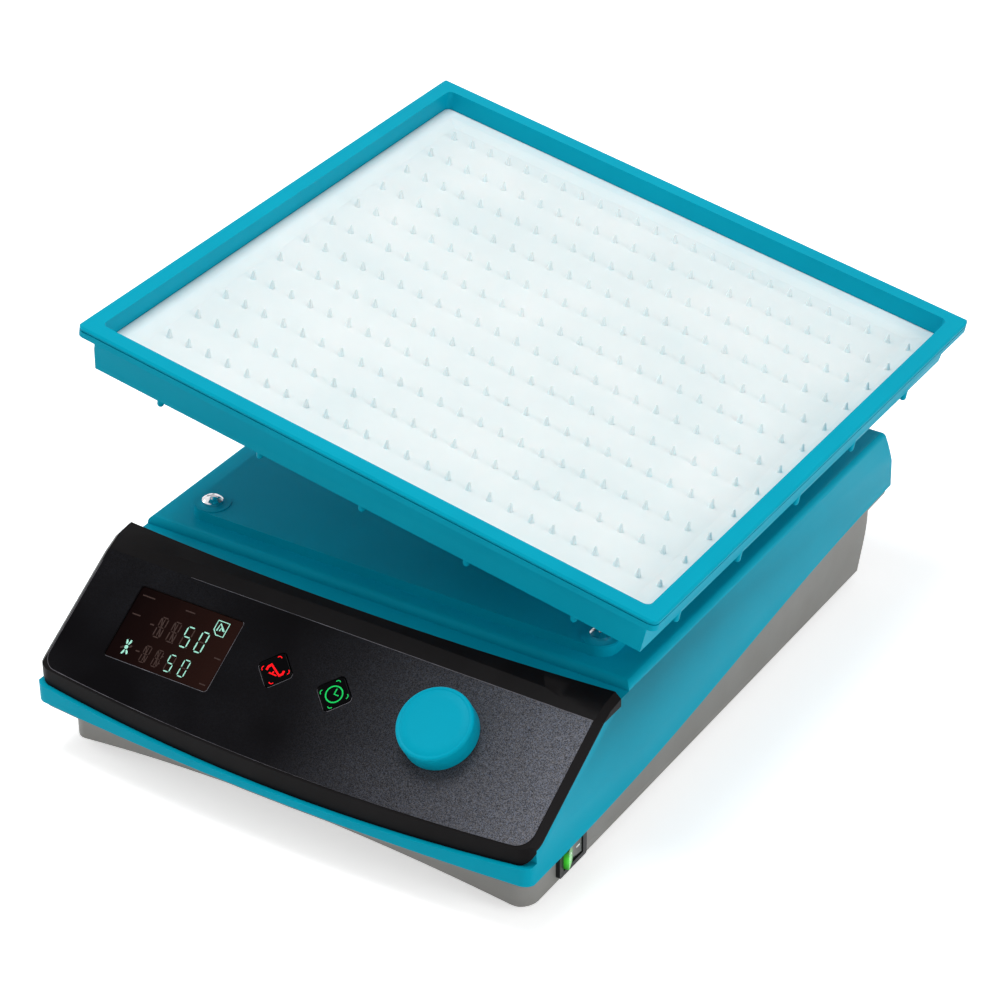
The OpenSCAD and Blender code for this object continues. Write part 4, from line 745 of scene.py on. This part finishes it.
def digitRow(row):
    # one row of four digits: the bars of its text are lit, the others are unlit, and blanks show slants too
    lit, ghost = [], []
    for x, text in zip(row["at"], displaySettings["text"]):
        if text:
            others = [k for k in segmentsOf["all"] if k not in segmentsOf[text]]
            lit += digitBars(x, row["top"], row["size"], row["bar"], segmentsOf[text])
            ghost += digitBars(x, row["top"], row["size"], row["bar"], others)
        else:
            thin = row["bar"] * displaySettings["blankShare"]
            ghost += digitBars(x, row["top"], row["size"], thin, segmentsOf["blank"])
    return lit, ghost


def rotorBlades(blades):
    # each blade runs from the hub to its tip, a little bent, and is widest in the middle
    cx, cy = signSettings["rotorAt"]
    bend, widths = signSettings["bladeBend"], np.array(signSettings["bladeWidths"])
    return [([[cx + x, cy + y], [cx + (x + tipX) / 2 + bend, cy + (y + tipY) / 2], [cx + tipX, cy + tipY]],
             widths, False) for x, y, tipX, tipY in blades]


def windowRimHighlight():
    # painted highlight: the window's outline, a little further in, along its lit front and its right side only
    s, film = signSettings, filmSettings
    half = np.array(film["windowHalf"]) - s["rimIn"]
    rim = np.array(film["windowAt"]) + roundedHole(half, film["windowRound"], 0, film["windowSteps"])
    return np.concatenate([rim[s["rimFrom"]:], rim[:s["rimTo"]]])


def makeDisplay():
    s = signSettings
    bigLit, bigGhost = digitRow(displaySettings["big"])
    smallLit, smallGhost = digitRow(displaySettings["small"])
    lit, ghost = bigLit + smallLit, bigGhost + smallGhost
    ghost += [([[x, y], [x + s["dashLong"], y]], s["dashWide"], False) for x, y in s["dashes"]]
    ghost += [([[x - s["dotHalf"], y], [x + s["dotHalf"], y]], s["dotWide"], False) for x, y in s["dots"]]
    # rotor sign: a lit hub with two blades above and two below, two more at its sides unlit
    lit.append((arc(*s["rotorAt"], s["hub"], 0, s["hubEndDeg"]), s["hubWide"], True))
    lit += rotorBlades(s["litBlades"])
    ghost += rotorBlades(s["unlitBlades"])
    # square sign with a cut corner and an upward arrow
    (x0, x1), (y0, y1), cut = s["boxX"], s["boxY"], s["boxCut"]
    box = [[x0, y0 + cut], [x0, y1], [x1, y1], [x1, y0], [x0 + cut, y0], [x0, y0 + cut]]
    lit.append((box, s["boxWide"], False))
    lit += [(points, width, False) for points, width in s["arrows"]]
    # short rules where the readings' captions would stand
    ghost += [([[x, y], [x + wide, y]], s["captionWide"], False) for x, y, wide in s["captions"]]
    strokes("displayWindowEdgeHighlight", [(windowRimHighlight(), s["rimWide"], False)], s["rimLift"], onPanel, paintedEdgeHighlight,
            "base")
    strokes("displayLitMarks", lit, displaySettings, onPanel, litSegment, "base")
    strokes("displayUnlitMarks", ghost, displaySettings, onPanel, ghostSegment, "base")


makeDisplay()
print("display made")

# ---- key marks ----
keyMarkSettings = {
    "lift": 0.5, "thick": 0.04, "runAt": (-18.7, -26.6), "timerAt": (11.6, -27.7),
    # the rocking arrow: points from the key's middle, and the width of each stroke
    "run": ((((-3.9, -1.2), (-3.8, 0.6), (-2.6, 1.7)), 1.1), (((-3.3, 2.0), (3.2, -2.0)), 0.8),
            (((2.9, -1.6), (3.9, -0.7), (3.8, 0.9)), 1.1), (((-2.3, -2.0), (1.7, -2.2)), 0.6),
            (((-0.6, -2.0), (-0.4, -0.8)), 0.7)),
    "clockRadius": 3.75, "clockEndDeg": 355, "clockSteps": 40, "clockWide": 0.6,
    "hands": ((0, 2.7), (0, 0), (2.2, 0)), "handWide": 0.55,
    "framing": 5.3, "frameRadius": 1.1, "frameHalfDeg": 62, "frameSteps": 12, "frameWide": 0.4,
    "frameDeg": (100, 190, 280, 10)}


def cornerArcs(at):
    # four short arcs that frame the sign, one towards each corner of the key
    s, arcs = keyMarkSettings, []
    for turn in s["frameDeg"]:
        x = at[0] + s["framing"] * math.cos(math.radians(turn))
        y = at[1] + s["framing"] * math.sin(math.radians(turn))
        bend = arc(x, y, s["frameRadius"], turn - s["frameHalfDeg"], turn + s["frameHalfDeg"], s["frameSteps"])
        arcs.append((bend, s["frameWide"], False))
    return arcs


def makeKeyMarks():
    # a rocking arrow on one key, a clock face on the other
    s = keyMarkSettings
    run = [(np.array(s["runAt"]) + np.array(points), width, False) for points, width in s["run"]]
    strokes("runMark", run + cornerArcs(s["runAt"]), s, onPanel, runRed, "run_button")
    rim = arc(*s["timerAt"], s["clockRadius"], 0, s["clockEndDeg"], s["clockSteps"])
    hands = np.array(s["timerAt"]) + np.array(s["hands"])
    clock = [(rim, s["clockWide"], True), (hands, s["handWide"], False)]
    strokes("timerMark", clock + cornerArcs(s["timerAt"]), s, onPanel, timerGreen,
            "timer_button")


makeKeyMarks()
print("key marks made")

# ---- knob ----
knobSettings = {
    "at": (64.3, -27.6), "foot": 0.6, "round": 96,
    # radius and height, from the middle of the top over the rounded rim and down, then up inside the skirt
    "profile": ((0.0, 9.72), (11.0, 9.78), (14.2, 9.86), (14.6, 9.66), (15.0, 9.66), (15.35, 9.9),
                (15.75, 9.88), (16.2, 9.62), (16.55, 9.2), (16.72, 8.6), (16.75, 7.6), (16.75, 0.5),
                (16.5, 0.1), (14.35, 0.0), (13.95, 1.2), (13.95, 7.3), (6.0, 7.3), (6.0, 0.0), (3.05, 0.0))}


def makeKnob():
    # the profile is turned about the knob's axis: radius and height at each step, then the angle
    s = knobSettings
    radius, height = np.array(s["profile"]).T
    angle = np.linspace(0, 2 * math.pi, s["round"], endpoint=False)
    right = s["at"][0] + radius[:, None] * np.cos(angle)
    up = s["at"][1] + radius[:, None] * np.sin(angle)
    out = np.broadcast_to((s["foot"] + height)[:, None], (len(radius), s["round"]))
    piece = meshPiece("speedKnobTurned", onPanel(np.stack([right, up, out], axis=-1)),
                      gridFaces(len(radius), s["round"], closeCols=True))
    finishPiece(piece, tealAbs, "knob")
    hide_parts("speed_knob")


makeKnob()
print("knob made")

# ---- rocker marks ----
rockerMarkSettings = {
    "lift": 0.02, "thick": 0.08, "pivot": (110.397, -126.6, 13.9), "turnDeg": 9,
    "dent": 3.0, "rise": 1.2, "half": 7.0,
    "dash": ((2.6, 0), (5.2, 0)), "dashWide": 0.8,
    "ringAt": (-4.0, 0), "ringRadius": 1.5, "ringEndDeg": 350, "ringSteps": 30, "ringWide": 0.6}


def onSwitch(points):
    # switch millimetres (along the rocker from its middle, up, out of its face) to metres: the face is a
    # shallow V, so each half leans outwards by rise over half, and the whole is turned about the pin
    s = rockerMarkSettings
    along, up, out = np.moveaxis(np.asarray(points, float), -1, 0)
    slant = math.hypot(s["rise"], s["half"])
    x = s["dent"] + (np.abs(along) * s["rise"] + out * s["half"]) / slant
    y = (along * s["half"] - np.sign(along) * out * s["rise"]) / slant
    a = math.radians(s["turnDeg"])
    pinX, pinY, pinZ = s["pivot"]
    return mm * np.stack([pinX + x * math.cos(a) - y * math.sin(a), pinY + x * math.sin(a) + y * math.cos(a),
                          pinZ + up], axis=-1)


def makeRockerMarks():
    # a dash on the pressed half and a ring on the raised half
    s = rockerMarkSettings
    ring = arc(*s["ringAt"], s["ringRadius"], 0, s["ringEndDeg"], s["ringSteps"])
    marks = [(s["dash"], s["dashWide"], False), (ring, s["ringWide"], True)]
    strokes("rockerMarks", marks, s, onSwitch, markWhite, "switch_rocker")


makeRockerMarks()
print("rocker marks made")

# ---- floor, world and light ----
stageSettings = {"half": 6.0, "points": 9, "dark": "#f8f8f8", "light": "#ffffff", "cloudsPerMetre": 1.5,
                 "lift": 0.55, "fadeFrom": 0.45, "fadeTo": 1.3, "whiteStrength": 1.0, "skyStrength": 0.38}
pureWhite = (1, 1, 1, 1)


def whiteWhenSeen(tree, plain, white):
    # camera, mirror and clear-glass rays see plain white, everything else gets the given shader
    path = addNode(tree, "ShaderNodeLightPath").outputs
    either = addNode(tree, "ShaderNodeMath", {"operation": "MAXIMUM"},
                     {0: path["Is Glossy Ray"], 1: path["Is Transmission Ray"]})
    seen = addNode(tree, "ShaderNodeMath", {"operation": "MAXIMUM"},
                   {0: path["Is Camera Ray"], 1: either.outputs[0]})
    return addNode(tree, "ShaderNodeMixShader", links={0: seen.outputs[0], 1: plain, 2: white})


def floorPaint():
    # matt white paint that shines a little by itself; away from the object it turns plain white, so that no
    # horizon shows
    s = stageSettings
    material, tree, shader, place = startMaterial("paleFloorPaint", Roughness=0.9, Specular_IOR_Level=0.0)
    cloud = addNode(tree, "ShaderNodeTexNoise", {"Scale": s["cloudsPerMetre"], "Detail": 2.0},
                    {"Vector": place})
    ramp = addNode(tree, "ShaderNodeValToRGB", links={"Fac": cloud.outputs["Fac"]})
    first, last = ramp.color_ramp.elements
    first.color, last.color = linear(s["dark"]), linear(s["light"])
    tree.links.new(ramp.outputs["Color"], shader.inputs["Base Color"])
    lift = addNode(tree, "ShaderNodeEmission", {"Color": pureWhite, "Strength": s["lift"]})
    seen = addNode(tree, "ShaderNodeAddShader", links={0: shader.outputs[0], 1: lift.outputs[0]})
    white = addNode(tree, "ShaderNodeEmission", {"Color": pureWhite, "Strength": s["whiteStrength"]})
    far = addNode(tree, "ShaderNodeVectorMath", {"operation": "LENGTH"}, {0: place})
    fade = addNode(tree, "ShaderNodeMapRange",
                   {"interpolation_type": "SMOOTHSTEP", "From Min": s["fadeFrom"], "From Max": s["fadeTo"]},
                   {"Value": far.outputs["Value"]})
    ground = addNode(tree, "ShaderNodeMixShader",
                     links={0: fade.outputs["Result"], 1: seen.outputs[0], 2: white.outputs[0]})
    mixed = whiteWhenSeen(tree, shader.outputs[0], ground.outputs[0])
    tree.links.new(mixed.outputs[0], tree.nodes["Material Output"].inputs["Surface"])
    return material


def makeStage():
    s = stageSettings
    side = np.linspace(-s["half"], s["half"], s["points"])
    x, y = np.meshgrid(side, side, indexing="ij")
    points = np.stack([x, y, np.zeros_like(x)], axis=-1)
    floor = meshPiece("paleFloor", points, gridFaces(s["points"], s["points"])[:, ::-1], smooth=False)
    floor.data.materials.append(floorPaint())
    scene.collection.objects.link(floor)
    world = bpy.data.worlds.new("studioWorld")
    world.use_nodes = True
    tree = world.node_tree
    tree.nodes.clear()
    soft = addNode(tree, "ShaderNodeBackground", {"Color": pureWhite, "Strength": s["skyStrength"]})
    plain = addNode(tree, "ShaderNodeBackground", {"Color": pureWhite, "Strength": s["whiteStrength"]})
    mix = whiteWhenSeen(tree, soft.outputs[0], plain.outputs[0])
    addNode(tree, "ShaderNodeOutputWorld", links={"Surface": mix.outputs[0]})
    scene.world = world


lampSettings = {
    "overheadBox": {"place": (-0.28, -0.1, 1.9), "aim": (0, 0, 0.1), "size": (0.9, 0.9), "watts": 19},
    "leftFill": {"place": (-1.7, -0.5, 0.7), "aim": (0, 0, 0.1), "size": (1.0, 1.0), "watts": 7},
    "rightFill": {"place": (1.9, -0.2, 0.8), "aim": (0, 0, 0.1), "size": (1.0, 1.0), "watts": 12},
}


def makeLamps():
    for name, s in lampSettings.items():
        data = bpy.data.lights.new(name, "AREA")
        data.shape = "RECTANGLE"
        data.size, data.size_y = s["size"]
        data.energy = s["watts"]
        lamp = bpy.data.objects.new(name, data)
        lamp.location = s["place"]
        lamp.rotation_euler = (Vector(s["aim"]) - Vector(s["place"])).to_track_quat("-Z", "Y").to_euler()
        scene.collection.objects.link(lamp)


makeStage()
makeLamps()
print("stage and lamps made")
